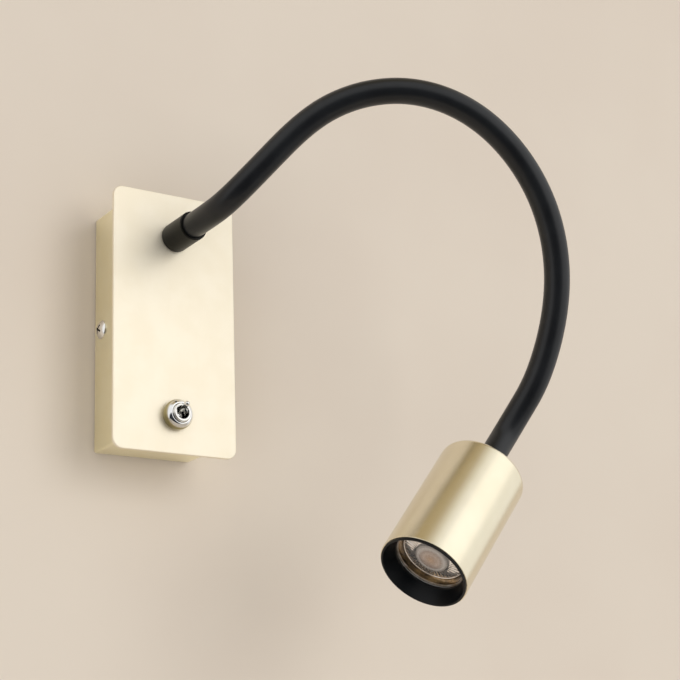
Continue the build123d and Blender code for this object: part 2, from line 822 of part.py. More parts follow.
with BuildPart() as head_shell:
    with BuildSketch(head_section):
        with BuildLine():
            hole = neck_thread_radius + hole_clearance
            Polyline(
                (hole, 0),
                (head_radius, 0),
                (head_radius, head_tube_length),
                (head_bore, head_tube_length),
                (head_bore, head_cap),
                (hole, head_cap),
                close=True,
            )
        make_face()
    revolve(axis=head_axis)
    rim = head_shell.edges().filter_by(GeomType.CIRCLE).group_by(SortBy.RADIUS)[-1]
    fillet(rim.sort_by(head_axis)[0], head_round)
    chamfer(rim.sort_by(head_axis)[-1], head_wall / 4)
save(head_shell, "head_shell")

with BuildPart() as head_fitting:
    with BuildSketch(head_section):
        with BuildLine():
            Polyline(
                (fitting_bore, -shoulder_length - stub_length),
                (spine_bore - thread_clearance, -shoulder_length - stub_length),
                (spine_bore - thread_clearance, -shoulder_length),
                (spine_radius, -shoulder_length),
                (spine_radius, 0),
                (neck_thread_radius, 0),
                (neck_thread_radius, head_thread_end),
                (fitting_bore, head_thread_end),
                close=True,
            )
        make_face()
    revolve(axis=head_axis)
save(head_fitting, "head_fitting")

foot_end = holder_screw_reach - hanger_foot_margin
hanger_profile = [
    (-foot_end, holder_back),
    (-hanger_half_span, holder_back),
    (-hanger_half_span, hanger_top),
    (hanger_half_span, hanger_top),
    (hanger_half_span, holder_back),
    (foot_end, holder_back),
]
with BuildPart() as holder_hanger:
    with BuildSketch(head_section.offset(-hanger_width / 2)):
        with BuildLine():
            Polyline(*hanger_profile)
            inner_half = hanger_half_span - hanger_sheet
            Polyline(
                hanger_profile[-1],
                (foot_end, holder_back - hanger_sheet),
                (inner_half, holder_back - hanger_sheet),
                (inner_half, hanger_top + hanger_sheet),
                (-inner_half, hanger_top + hanger_sheet),
                (-inner_half, holder_back - hanger_sheet),
                (-foot_end, holder_back - hanger_sheet),
                hanger_profile[0],
            )
        make_face()
    extrude(amount=hanger_width)
    with BuildSketch(head_plane(hanger_top)):
        Circle(neck_thread_radius + hole_clearance)
    extrude(amount=hanger_sheet, mode=Mode.SUBTRACT)
    with BuildSketch(head_plane(holder_back)):
        with Locations((-holder_screw_reach, 0), (holder_screw_reach, 0)):
            Circle(holder_screw_radius + slip_clearance)
    extrude(amount=-hanger_sheet, mode=Mode.SUBTRACT)
save(holder_hanger, "holder_hanger")

with BuildPart() as head_washer:
    with BuildSketch(head_plane(head_washer_top)):
        add(toothed_washer(neck_thread_radius))
    extrude(amount=washer_thickness)
save(head_washer, "head_washer")

with BuildPart() as head_nut:
    with BuildSketch(head_plane(head_nut_top)):
        add(hex_nut_sketch(nut_flats, neck_thread_radius))
    extrude(amount=nut_thickness)
    chamfer(head_nut.faces().sort_by(head_axis)[-1].outer_wire().edges(), nut_chamfer)
save(head_nut, "head_nut")


def twist_slots(width, free_hole):
    """Sketch of the two arc slots that the lamp's pins turn in, with a round hole at the free end."""
    with BuildSketch() as slots:
        for locked in (90, 270):
            SlotArc(CenterArc((0, 0), pin_half, locked, twist_angle), width)
            with Locations(Vector(pin_half, 0).rotate(Axis.Z, locked + twist_angle)):
                Circle(free_hole)
    return slots.sketch


pin_chamber = pin_neck_length - holder_skin + pin_head_length + 2 * seat_clearance
with BuildPart() as lamp_holder:
    with BuildSketch(head_plane(holder_back)):
        Circle(holder_radius)
    extrude(amount=holder_height)
    fillet(lamp_holder.faces().sort_by(head_axis)[-1].edges(), holder_round)
    with BuildSketch(head_plane(holder_front)):
        add(twist_slots(slot_neck_width, slot_head_width / 2))
    extrude(amount=-holder_skin, mode=Mode.SUBTRACT)
    with BuildSketch(head_plane(holder_front - holder_skin)):
        add(twist_slots(slot_head_width, slot_head_width / 2))
    extrude(amount=-pin_chamber, mode=Mode.SUBTRACT)
    with BuildSketch(head_plane(holder_back)):
        with Locations((-holder_screw_reach, 0), (holder_screw_reach, 0)):
            Circle(holder_screw_radius + thread_clearance)
    extrude(amount=holder_screw_length, mode=Mode.SUBTRACT)
    with BuildSketch(head_plane(holder_back)):
        with Locations((-holder_entry_reach, 0), (holder_entry_reach, 0)):
            Circle(core_radius + hole_clearance)
    extrude(amount=entry_depth / 2, mode=Mode.SUBTRACT)
save(lamp_holder, "lamp_holder")

with BuildPart() as holder_screws:
    with BuildSketch(head_plane(holder_back - hanger_sheet)):
        with Locations((-holder_screw_reach, 0), (holder_screw_reach, 0)):
            Circle(holder_screw_radius)
    extrude(amount=holder_screw_length)
    with BuildSketch(head_plane(holder_back - hanger_sheet)):
        with Locations((-holder_screw_reach, 0), (holder_screw_reach, 0)):
            Circle(holder_screw_head)
    extrude(amount=-holder_screw_head_height)
save(holder_screws, "holder_screws")

with BuildPart() as head_leads:
    for side in (-1, 1):
        lead_start = head_plane(cable_into_head).from_local_coords(Vector(side * core_spacing, 0, 0))
        lead_mouth = head_plane(holder_back).from_local_coords(Vector(side * holder_entry_reach, 0, 0))
        with BuildLine() as head_lead_line:
            Spline(lead_start, lead_mouth, tangents=[head_direction, head_direction])
            Line(lead_mouth, lead_mouth + head_direction * (entry_depth / 2 - seat_clearance))
        with BuildSketch(Plane(origin=lead_start, z_dir=head_direction)):
            Circle(core_radius)
        sweep(path=head_lead_line.line)
save(head_leads, "head_leads")

lamp_cup_floor = lamp_front - lamp_cup_depth
with BuildPart() as lamp_body:
    with BuildSketch(head_section):
        with BuildLine():
            cup_radius = lamp_radius - lamp_wall
            base_end = lamp_back + lamp_base_length
            flare = SagittaArc(
                (lamp_base_radius + lamp_shoulder, base_end),
                (lamp_radius, lamp_cup_floor),
                -flare_sag,
            )
            Polyline(
                flare @ 1,
                (lamp_radius, lamp_front - lamp_edge),
                (lamp_radius - lamp_edge, lamp_front),
                (cup_radius, lamp_front),
                (cup_radius, lamp_cup_floor),
                (0, lamp_cup_floor),
                (0, lamp_back),
                (lamp_base_radius, lamp_back),
                (lamp_base_radius, base_end),
                flare @ 0,
            )
        make_face()
    revolve(axis=head_axis)
save(lamp_body, "lamp_body")

with BuildPart() as lamp_pins:
    for side in (-1, 1):
        pin_foot = head_plane(lamp_back).from_local_coords(Vector(0, side * pin_half, 0))
        pin_end = -pin_neck_length - pin_head_length
        with BuildSketch(half_section(pin_foot, head_side, head_direction)):
            with BuildLine():
                Polyline(
                    (0, 0),
                    (pin_neck_radius, 0),
                    (pin_neck_radius, -pin_neck_length),
                    (pin_head_radius, -pin_neck_length),
                    (pin_head_radius, pin_end + pin_edge),
                    (pin_head_radius - pin_edge, pin_end),
                    (0, pin_end),
                    close=True,
                )
            make_face()
        revolve(axis=Axis(pin_foot, head_direction))
save(lamp_pins, "lamp_pins")

with BuildPart() as lamp_board:
    with BuildSketch(head_plane(lamp_cup_floor)):
        Circle(board_radius)
    extrude(amount=board_thickness)
save(lamp_board, "lamp_board")

emitter_back = lamp_cup_floor + board_thickness
with BuildPart() as lamp_emitter:
    with BuildSketch(head_plane(emitter_back)):
        Circle(emitter_radius)
    extrude(amount=emitter_thickness)
save(lamp_emitter, "lamp_emitter")

lens_front = lamp_front - lens_recess
trough_floor = lens_front - trough_depth
lens_back = trough_floor - lens_floor
with BuildPart() as lamp_lens:
    with BuildSketch(head_section):
        with BuildLine():
            lens_edge = lamp_radius - lamp_wall - slip_clearance
            trough_rim = lens_edge - lens_flange
            dome_top = (0, lens_front + lens_dome_height)
            dome_rim = (lens_dome_radius, lens_front + lens_dome_rim)
            cone_start = emitter_back + emitter_thickness + seat_clearance
            Polyline(
                dome_top,
                (0, cone_start),
                (lens_cone_radius, cone_start),
                (lens_dome_radius + lens_cone_flare, lens_back),
                (lens_edge, lens_back),
                (lens_edge, lens_front),
                (trough_rim, lens_front),
                (trough_rim - lens_draft, trough_floor),
                (lens_dome_radius + lens_dome_foot, trough_floor + trough_rise),
                dome_rim,
            )
            TangentArc(dome_top, dome_rim, tangent=(1, 0))
        make_face()
    revolve(axis=head_axis)
save(lamp_lens, "lamp_lens")

with BuildPart() as baffle_ring:
    with BuildSketch(head_section):
        with BuildLine():
            skirt = head_bore - slip_clearance / 2
            ring_front = head_tube_length + ring_lip
            ring_back = head_tube_length - ring_depth
            lip_radius = head_radius - ring_inset
            Polyline(
                (skirt, ring_back),
                (skirt, head_tube_length),
                (lip_radius, head_tube_length),
                (lip_radius, ring_front - ring_edge),
                (lip_radius - ring_edge, ring_front),
                (ring_mouth_radius, ring_front),
                (ring_throat_radius, ring_back + ring_land),
                (ring_throat_radius, ring_back),
                close=True,
            )
        make_face()
    revolve(axis=head_axis)
save(baffle_ring, "baffle_ring")

print("head top", head_top, "direction", head_direction, "side", head_side)
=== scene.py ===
import json
import math

import bmesh
import bpy
import numpy as np
from mathutils import Matrix, Vector

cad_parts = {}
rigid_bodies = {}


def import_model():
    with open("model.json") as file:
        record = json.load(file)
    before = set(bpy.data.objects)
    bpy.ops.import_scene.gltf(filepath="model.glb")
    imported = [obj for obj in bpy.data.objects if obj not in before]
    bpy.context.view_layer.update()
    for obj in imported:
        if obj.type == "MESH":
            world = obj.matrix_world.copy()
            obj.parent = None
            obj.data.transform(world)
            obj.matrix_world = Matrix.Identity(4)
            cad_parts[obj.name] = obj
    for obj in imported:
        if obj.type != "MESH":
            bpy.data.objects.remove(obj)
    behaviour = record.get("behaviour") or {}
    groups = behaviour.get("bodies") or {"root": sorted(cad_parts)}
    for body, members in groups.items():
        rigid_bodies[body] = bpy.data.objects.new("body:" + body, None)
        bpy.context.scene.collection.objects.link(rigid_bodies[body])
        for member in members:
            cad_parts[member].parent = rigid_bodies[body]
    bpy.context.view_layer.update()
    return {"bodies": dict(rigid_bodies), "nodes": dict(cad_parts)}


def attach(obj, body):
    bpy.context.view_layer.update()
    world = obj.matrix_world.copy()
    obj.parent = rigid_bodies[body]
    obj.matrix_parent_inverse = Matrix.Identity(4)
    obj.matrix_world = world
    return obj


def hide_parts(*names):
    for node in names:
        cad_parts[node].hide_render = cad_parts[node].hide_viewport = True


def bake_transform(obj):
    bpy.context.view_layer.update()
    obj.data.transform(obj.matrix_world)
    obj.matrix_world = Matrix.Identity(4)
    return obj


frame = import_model()

# ------------------------------------------------------------------ places, all in millimetres until mm() is used
# The wall is Y = 0 and the room is at -Y. "Out" is the distance from the wall.
PLATE_FRONT = 47.0
PLATE_BACK = 45.0
NECK_HEIGHT = 55.6
SWITCH_HEIGHT = -61.0
NECK_HOLE = 5.25
SWITCH_HOLE = 6.2
COVER_WIDTH = 67.0
COVER_HEIGHT = 156.0
COVER_SHEET = 1.2
SIDE_SCREW_OUT = 11.0
HEAD_TOP = Vector((146.5, -162.0, -107.4))
HEAD_AXIS = Vector((-0.644683, -0.12345, -0.754416)).normalized()
HEAD_SIDE = HEAD_AXIS.cross(Vector((0, 0, 1))).normalized()
TUBE_END = 85.3
TO_ROOM = Vector((0, -1, 0))
SPRING_SIZES = {"Winding Radius": 0.0049, "Wire Radius": 0.0011, "Pitch": 0.0024}  # in metres

# Control points of the neck's centre line, from inside the collar to the head
NECK_POINTS = [
    (0, -50, 55.6), (0, -64, 55.6), (0, -80, 55.6), (0, -97, 55.6), (1.2, -116.6, 57.4),
    (20.5, -136.6, 83.2), (45.2, -158.9, 114.9), (89.4, -185, 126.8), (137.9, -201.1, 108.8),
    (176.4, -205.6, 62.6), (191.1, -197, 6.4), (184.6, -177.9, -45.4), (177.1, -166.7, -63.7),
    (169.9, -159, -79), (164.6, -158.5, -86.3), (155.5, -160.3, -96.8), (146.5, -162, -107.4),
]
# The same line for the cable, which drops inside the box and goes on into the head
CABLE_POINTS = [
    (0, -21, 45.6), (0, -21, 49), (0, -21.3, 53.6), (0, -23, 55.4), (0, -28, 55.6), (0, -38, 55.6),
    *NECK_POINTS[:-1],
    tuple(HEAD_TOP + HEAD_AXIS * 3), tuple(HEAD_TOP + HEAD_AXIS * 10),
]
# Where the neck's three bending stretches meet
RISE_START = (0, -77.5, 55.6)
RISE_TO_ARCH = (80, -178.5, 121.3)
ARCH_TO_FALL = (186.5, -197.5, 17)
FALL_END = (162.5, -159, -88.6)
STRETCHES = [
    ("rise", "root", "arm_rise", RISE_START, RISE_TO_ARCH),
    ("arch", "arm_rise", "arm_fall", RISE_TO_ARCH, ARCH_TO_FALL),
    ("fall", "arm_fall", "lamp_head", ARCH_TO_FALL, FALL_END),
]


def mm(value):
    """Millimetres to the metres that Blender works in."""
    if isinstance(value, (int, float)):
        return value * 0.001
    return Vector(value) * 0.001


# ------------------------------------------------------------------ making meshes
def put_in_scene(name, data):
    """A new object in the scene, with the name and data given."""
    made = bpy.data.objects.new(name, data)
    bpy.context.scene.collection.objects.link(made)
    return made


def from_bmesh(name, bm):
    """A new piece from a finished bmesh, which is freed."""
    mesh = bpy.data.meshes.new(name)
    bm.to_mesh(mesh)
    bm.free()
    return put_in_scene(name, mesh)


def as_plain_mesh(made):
    """Turns a piece with live modifiers into one with its finished mesh."""
    bpy.context.view_layer.update()
    graph = bpy.context.evaluated_depsgraph_get()
    finished = bpy.data.meshes.new_from_object(made.evaluated_get(graph), depsgraph=graph)
    made.modifiers.clear()
    made.data = finished
    finished.name = made.name
    return made


def shaded_smooth(made):
    """Turns on smooth shading for every face of a piece."""
    for face in made.data.polygons:
        face.use_smooth = True
    return made


def smooth_faces(made, angle=38):
    """Smooth shading that keeps flat faces flat and breaks at real edges."""
    shaded_smooth(made)
    made.data.set_sharp_from_angle(angle=math.radians(angle))
    weighted = made.modifiers.new("flat faces stay flat", "WEIGHTED_NORMAL")
    weighted.keep_sharp = True
    weighted.weight = 100
    return as_plain_mesh(made)


def eased(corners, steps=7):
    """Closed outline through corners (radius, along, rounding), each corner rounded by its own amount."""
    outline = []
    for i, (radius, along, rounding) in enumerate(corners):
        here = Vector((radius, along))
        before = Vector(corners[i - 1][:2]) - here
        after = Vector(corners[(i + 1) % len(corners)][:2]) - here
        if rounding <= 0:
            outline.append(tuple(here))
            continue
        before.normalize()
        after.normalize()
        half = before.angle(after) / 2
        middle = here + (before + after).normalized() * (rounding / math.sin(half))
        first = here + before * (rounding / math.tan(half)) - middle
        last = here + after * (rounding / math.tan(half)) - middle
        start = math.atan2(first.y, first.x)
        turn = (math.atan2(last.y, last.x) - start + math.pi) % (2 * math.pi) - math.pi
        for k in range(steps + 1):
            angle = start + turn * k / steps
            outline.append((middle.x + rounding * math.cos(angle), middle.y + rounding * math.sin(angle)))
    return outline


def along_arc(start, middle, end, steps=10):
    """Points of the arc through three points, without its first point."""
    (ax, ay), (bx, by), (cx, cy) = start, middle, end
    d = 2 * (ax * (by - cy) + bx * (cy - ay) + cx * (ay - by))
    ux = ((ax**2 + ay**2) * (by - cy) + (bx**2 + by**2) * (cy - ay) + (cx**2 + cy**2) * (ay - by)) / d
    uy = ((ax**2 + ay**2) * (cx - bx) + (bx**2 + by**2) * (ax - cx) + (cx**2 + cy**2) * (bx - ax)) / d
    radius = math.hypot(ax - ux, ay - uy)
    first = math.atan2(ay - uy, ax - ux)
    half = (math.atan2(by - uy, bx - ux) - first + math.pi) % (2 * math.pi) - math.pi
    turn = (math.atan2(cy - uy, cx - ux) - first + math.pi) % (2 * math.pi) - math.pi
    if half * turn < 0:
        turn += math.copysign(2 * math.pi, half)
    return [
        (ux + radius * math.cos(first + turn * k / steps), uy + radius * math.sin(first + turn * k / steps))
        for k in range(1, steps + 1)
    ]


def bulge(start, end, steps=14):
    """Arc that leaves start parallel to the axis and ends at a smaller radius, without its first point."""
    inwards, forwards = start[0] - end[0], end[1] - start[1]
    radius = (inwards**2 + forwards**2) / (2 * inwards)
    turn = math.asin(forwards / radius) / steps
    return [
        (start[0] - radius * (1 - math.cos(turn * k)), start[1] + radius * math.sin(turn * k))
        for k in range(1, steps + 1)
    ]


def turned(name, foot, axis, outline, steps=128, shape=None):
    """A turned piece: a closed outline of (radius, along) points spun round an axis. Its UV map is in
    metres, round the piece and along the outline. shape(radius, along, angle) may move a point, and gives
    back its radius and its place along the axis."""
    axis = Vector(axis).normalized()
    across = HEAD_SIDE if abs(axis.dot(HEAD_AXIS)) > 0.99 else axis.orthogonal().normalized()
    if abs(axis.y) > 0.99:
        across = Vector((1, 0, 0))
    other = axis.cross(across)
    count = len(outline)
    bm = bmesh.new()
    uv = bm.loops.layers.uv.new("UVMap")
    rings = []
    for k in range(steps):
        angle = 2 * math.pi * k / steps
        ring = []
        for radius, along in outline:
            reach, depth = shape(radius, along, angle) if shape else (radius, along)
            point = Vector(foot) + axis * depth + (across * math.cos(angle) + other * math.sin(angle)) * reach
            ring.append(bm.verts.new(mm(point)))
        rings.append(ring)
    travelled = [0.0]
    for i in range(count):
        here, there = outline[i], outline[(i + 1) % count]
        travelled.append(travelled[-1] + math.dist(here, there))
    girth = 2 * math.pi * max(radius for radius, _ in outline)
    for k in range(steps):
        for i in range(count):
            if outline[i][0] < 1e-6 and outline[(i + 1) % count][0] < 1e-6:
                continue
            j = (i + 1) % count
            face = bm.faces.new(
                (rings[k][i], rings[(k + 1) % steps][i], rings[(k + 1) % steps][j], rings[k][j])
            )
            for loop, (u, v) in zip(face.loops, ((k, i), (k + 1, i), (k + 1, i + 1), (k, i + 1))):
                loop[uv].uv = (mm(girth * u / steps), mm(travelled[v]))
    bmesh.ops.remove_doubles(bm, verts=bm.verts, dist=1e-7)
    bmesh.ops.recalc_face_normals(bm, faces=bm.faces)
    return from_bmesh(name, bm)


def rounded_rectangle(width, height, corner, steps=10):
    """Points round a rectangle with rounded corners, about the origin."""
    points = []
    for sign_x, sign_y, start in ((1, 1, 0), (-1, 1, 90), (-1, -1, 180), (1, -1, 270)):
        for k in range(steps + 1):
            angle = math.radians(start + 90 * k / steps)
            points.append((
                sign_x * (width / 2 - corner) + corner * math.cos(angle),
                sign_y * (height / 2 - corner) + corner * math.sin(angle),
            ))
    return points


def slab(name, width, height, corner, back, front, front_round, back_round=0.15, steps=6):
    """A block on the wall from back to front with rounded corners and a rounded edge on each face."""
    turns = [math.radians(90 * k / steps) for k in range(steps + 1)]
    levels = [(back + back_round * (1 - math.cos(a)), back_round * (1 - math.sin(a))) for a in turns]
    levels += [(front - front_round * (1 - math.sin(a)), front_round * (1 - math.cos(a))) for a in turns]
    bm = bmesh.new()
    rows = []
    for out, inset in levels:
        outline = rounded_rectangle(width - 2 * inset, height - 2 * inset, max(corner - inset, 0.05))
        rows.append([bm.verts.new(mm((x, -out, z))) for x, z in outline])
    for low, high in zip(rows, rows[1:]):
        for i in range(len(low)):
            j = (i + 1) % len(low)
            bm.faces.new((low[i], low[j], high[j], high[i]))
    bm.faces.new(rows[0])
    bm.faces.new(rows[-1])
    bmesh.ops.recalc_face_normals(bm, faces=bm.faces)
    return from_bmesh(name, bm)


def rod(centre, axis, radius, half_length, steps=64):
    """A plain rod, used only to cut holes."""
    outline = [(0, -half_length), (radius, -half_length), (radius, half_length), (0, half_length)]
    return turned("hole_cutter", centre, axis, outline, steps)


def bar(name, centre, right, up, out, size):
    """A plain bar along three directions, for a recess or a flat piece."""
    bm = bmesh.new()
    bmesh.ops.create_cube(bm, size=1)
    turn = Matrix((Vector(right).normalized(), Vector(up).normalized(), Vector(out).normalized())).transposed()
    for vert in bm.verts:
        local = Vector((vert.co.x * size[0], vert.co.y * size[1], vert.co.z * size[2]))
        vert.co = mm(Vector(centre) + turn @ local)
    return from_bmesh(name, bm)


def cut(made, cutters):
    """Cuts the shapes of the cutters out of a piece, and deletes them."""
    for cutter in cutters:
        boolean = made.modifiers.new("cut", "BOOLEAN")
        boolean.operation = "DIFFERENCE"
        boolean.solver = "EXACT"
        boolean.object = cutter
    as_plain_mesh(made)
    for cutter in cutters:
        bpy.data.objects.remove(cutter, do_unlink=True)
    return made


def bevel_edges(made, width, angle=35):
    """Adds a narrow bevel to a piece's edges that are sharper than an angle in degrees."""
    bevel = made.modifiers.new("soft edges", "BEVEL")
    bevel.width = mm(width)
    bevel.segments = 2
    bevel.limit_method = "ANGLE"
    bevel.angle_limit = math.radians(angle)
    bevel.use_clamp_overlap = True
    return made


def dressed(node, edge=0.15, angle=35):
    """A merged copy of a CAD node with softened edges, which stands for it."""
    source = frame["nodes"][node]
    bm = bmesh.new()
    bm.from_mesh(source.data)
    bmesh.ops.remove_doubles(bm, verts=bm.verts, dist=2e-6)
    bmesh.ops.dissolve_limit(bm, angle_limit=math.radians(1), verts=bm.verts, edges=bm.edges)
    made = from_bmesh(node + "_dressed", bm)
    if edge:
        bevel_edges(made, edge, angle)
    smooth_faces(made, angle)
    body = next(name for name, empty in frame["bodies"].items() if empty == source.parent)
    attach(made, body)
    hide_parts(node)
    return made


# ------------------------------------------------------------------ curves
def centre_line(points, order=4, resolution=24):
    """Points of a smooth NURBS line, in metres."""
    curve = bpy.data.curves.new("centre_line", "CURVE")
    curve.dimensions = "3D"
    spline = curve.splines.new("NURBS")
    spline.points.add(len(points) - 1)
    for target, point in zip(spline.points, points):
        target.co = (*mm(point), 1)
    spline.order_u = order
    spline.use_endpoint_u = True
    curve.resolution_u = resolution
    carrier = put_in_scene("centre_line", curve)
    bpy.context.view_layer.update()
    mesh = bpy.data.meshes.new_from_object(carrier)
    line = np.array([vert.co[:] for vert in mesh.vertices])
    bpy.data.objects.remove(carrier, do_unlink=True)
    return line


def even_steps(line, step):
    """The line again, with its points evenly spaced at about a step, in metres."""
    gaps = np.linalg.norm(np.diff(line, axis=0), axis=1)
    travelled = np.concatenate([[0], np.cumsum(gaps)])
    count = max(2, round(travelled[-1] / step))
    wanted = np.linspace(0, travelled[-1], count + 1)
    return np.stack([np.interp(wanted, travelled, line[:, k]) for k in range(3)], axis=1)


def carried_frames(line):
    """Tangent and two cross directions at each point, carried along without twist."""
    tangents = np.gradient(line, axis=0)
    tangents /= np.linalg.norm(tangents, axis=1)[:, None]
    first = np.array([1.0, 0.0, 0.0])
    first -= tangents[0] * first.dot(tangents[0])
    first /= np.linalg.norm(first)
    normals = [first]
    for tangent in tangents[1:]:
        normal = normals[-1] - tangent * normals[-1].dot(tangent)
        normals.append(normal / np.linalg.norm(normal))
    normals = np.array(normals)
    return tangents, normals, np.cross(tangents, normals)


def nearest(line, point):
    """Index of the line's point that lies nearest to a place in millimetres."""
    return int(np.argmin(np.linalg.norm(line - np.array(mm(point)), axis=1)))


def tube(name, line, outer, inner, first, last, steps):
    """A tube along part of a line, closed at both ends. inner 0 makes a solid core. Its UV map is in metres."""
    tangents, normals, others = carried_frames(line)
    travelled = np.concatenate([[0], np.cumsum(np.linalg.norm(np.diff(line, axis=0), axis=1))])
    bm = bmesh.new()
    uv = bm.loops.layers.uv.new("UVMap")
    rows = []
    order = [(i, outer) for i in range(first, last + 1)]
    if inner:
        order += [(i, inner) for i in range(last, first - 1, -1)]
    for i, radius in order:
        row = []
        for k in range(steps):
            angle = 2 * math.pi * k / steps
            offset = normals[i] * math.cos(angle) + others[i] * math.sin(angle)
            row.append(bm.verts.new(line[i] + offset * mm(radius)))
        rows.append((i, row))
    loops = list(zip(rows, rows[1:]))
    if inner:
        loops.append((rows[-1], rows[0]))
    for (i, low), (j, high) in loops:
        for k in range(steps):
            m = (k + 1) % steps
            face = bm.faces.new((low[k], low[m], high[m], high[k]))
            for loop, (u, v) in zip(face.loops, ((k, i), (k + 1, i), (k + 1, j), (k, j))):
                loop[uv].uv = (mm(2 * math.pi * outer) * u / steps, travelled[v])
    if not inner:
        bm.faces.new(rows[0][1])
        bm.faces.new(rows[-1][1])
    bmesh.ops.recalc_face_normals(bm, faces=bm.faces)
    made = shaded_smooth(from_bmesh(name, bm))
    made.data.set_sharp_from_angle(angle=math.radians(50))
    return made


# ------------------------------------------------------------------ shader node groups
def node(tree, kind, **values):
    """A new node, with its properties set."""
    made = tree.nodes.new(kind)
    for name, value in values.items():
        setattr(made, name, value)
    return made


def feed(tree, value, socket):
    """Gives a socket a link where value is another node's output, and else a plain value."""
    if isinstance(value, bpy.types.NodeSocket):
        tree.links.new(value, socket)
    else:
        socket.default_value = value


def maths(tree, operation, first, second=None):
    """The result of a maths node for outputs or plain numbers."""
    made = node(tree, "ShaderNodeMath", operation=operation)
    feed(tree, first, made.inputs[0])
    if second is not None:
        feed(tree, second, made.inputs[1])
    return made.outputs[0]


def ranged(tree, value, low, high, to_low=0.0, to_high=1.0):
    """A value taken smoothly from the range low to high to another range."""
    made = node(tree, "ShaderNodeMapRange", interpolation_type="SMOOTHSTEP")
    for label, amount in (("Value", value), ("From Min", low), ("From Max", high), ("To Min", to_low),
                          ("To Max", to_high)):
        feed(tree, amount, made.inputs[label])
    return made.outputs["Result"]


def mixed(tree, first, second, share):
    """A colour between two others."""
    made = node(tree, "ShaderNodeMix", data_type="RGBA")
    for label, value in (("A", first), ("B", second), ("Factor", share)):
        feed(tree, value, made.inputs[label])
    return made.outputs["Result"]


def parts_of(tree, vector):
    """The X, Y and Z outputs of a vector."""
    split = node(tree, "ShaderNodeSeparateXYZ")
    tree.links.new(vector, split.inputs[0])
    return split.outputs


def joined(tree, **parts):
    """A vector from some of its X, Y and Z."""
    join = node(tree, "ShaderNodeCombineXYZ")
    for label, value in parts.items():
        tree.links.new(value, join.inputs[label])
    return join.outputs[0]


def noise(tree, vector, **sockets):
    """A noise texture's strength at a vector."""
    made = node(tree, "ShaderNodeTexNoise")
    tree.links.new(vector, made.inputs["Vector"])
    for label, value in sockets.items():
        feed(tree, value, made.inputs[label])
    return made.outputs["Fac"]


def new_group(name, inputs, outputs):
    """A shader group with a vector and named inputs with start values (a colour or a number), and outputs.
    Gives back the group, what it is given, and a function that takes its results."""
    group = bpy.data.node_groups.new(name, "ShaderNodeTree")
    group.interface.new_socket("Vector", in_out="INPUT", socket_type="NodeSocketVector")
    for label, start in inputs:
        kind = "NodeSocketColor" if isinstance(start, tuple) else "NodeSocketFloat"
        group.interface.new_socket(label, in_out="INPUT", socket_type=kind).default_value = start
    for label in outputs:
        kind = "NodeSocketColor" if label == "Colour" else "NodeSocketFloat"
        group.interface.new_socket(label, in_out="OUTPUT", socket_type=kind)
    given, result = group.nodes.new("NodeGroupInput").outputs, group.nodes.new("NodeGroupOutput")

    def give_back(**values):
        for label, value in values.items():
            group.links.new(value, result.inputs[label])
        return group

    return group, given, give_back


def soft_patches_group():
    """Slow, cloudy change of colour, as in lacquer, handled metal or aged plastic."""
    group, given, give_back = new_group("soft patches", [
        ("Patch Size", 0.03), ("First Colour", (1, 1, 1, 1)), ("Second Colour", (0, 0, 0, 1)), ("Contrast", 0.5),
    ], ["Colour", "Mask"])
    scale = maths(group, "DIVIDE", 1.0, given["Patch Size"])
    cloud = noise(group, given["Vector"], Detail=3, Roughness=0.55, Scale=scale)
    low = maths(group, "ADD", maths(group, "MULTIPLY", given["Contrast"], -0.5), 0.5)
    spread = maths(group, "MULTIPLY", ranged(group, cloud, 0.32, 0.68), given["Contrast"])
    share = maths(group, "ADD", spread, low)
    colour = mixed(group, given["First Colour"], given["Second Colour"], share)
    return give_back(Colour=colour, Mask=share)


def brushed_lines_group():
    """Fine brushing: long in the vector's X, short in its Y and Z."""
    group, given, give_back = new_group(
        "brushed lines", [("Line Width", 0.0003), ("Line Length", 0.03)], ["Height", "Mask"])
    place = parts_of(group, given["Vector"])
    sizes = {"X": given["Line Length"], "Y": given["Line Width"], "Z": given["Line Width"]}
    drawn = joined(group, **{k: maths(group, "DIVIDE", place[k], size) for k, size in sizes.items()})
    lines = noise(group, drawn, Scale=1, Detail=4, Roughness=0.65)
    return give_back(Height=lines, Mask=ranged(group, lines, 0.35, 0.65))


def fine_grain_group():
    """Close grain of spray paint, moulded plastic or bare ceramic."""
    group, given, give_back = new_group(
        "fine grain", [("Grain Size", 0.0004), ("Unevenness", 0.5)], ["Height", "Mask"])
    scale = maths(group, "DIVIDE", 1.0, given["Grain Size"])
    grain = noise(group, given["Vector"], Detail=3, Scale=scale, Roughness=given["Unevenness"])
    return give_back(Height=grain, Mask=ranged(group, grain, 0.35, 0.65))


def rubbed_marks_group():
    """Sparse light scuffs and specks, such as handling leaves."""
    group, given, give_back = new_group("rubbed marks", [("Mark Size", 0.004), ("Amount", 0.2)], ["Mask"])
    scale = maths(group, "DIVIDE", 1.0, given["Mark Size"])
    marks = noise(group, given["Vector"], Detail=6, Roughness=0.7, Distortion=1.2, Scale=scale)
    level = maths(group, "SUBTRACT", 0.8, maths(group, "MULTIPLY", given["Amount"], 0.4))
    return give_back(Mask=ranged(group, marks, level, maths(group, "ADD", level, 0.08)))


SOFT_PATCHES = soft_patches_group()
BRUSHED_LINES = brushed_lines_group()
FINE_GRAIN = fine_grain_group()
RUBBED_MARKS = rubbed_marks_group()


# ------------------------------------------------------------------ materials
def srgb(*levels):
    """Linear colour from 0-255 picture levels above 10."""
    return tuple(((level / 255 + 0.055) / 1.055) ** 2.4 for level in levels)


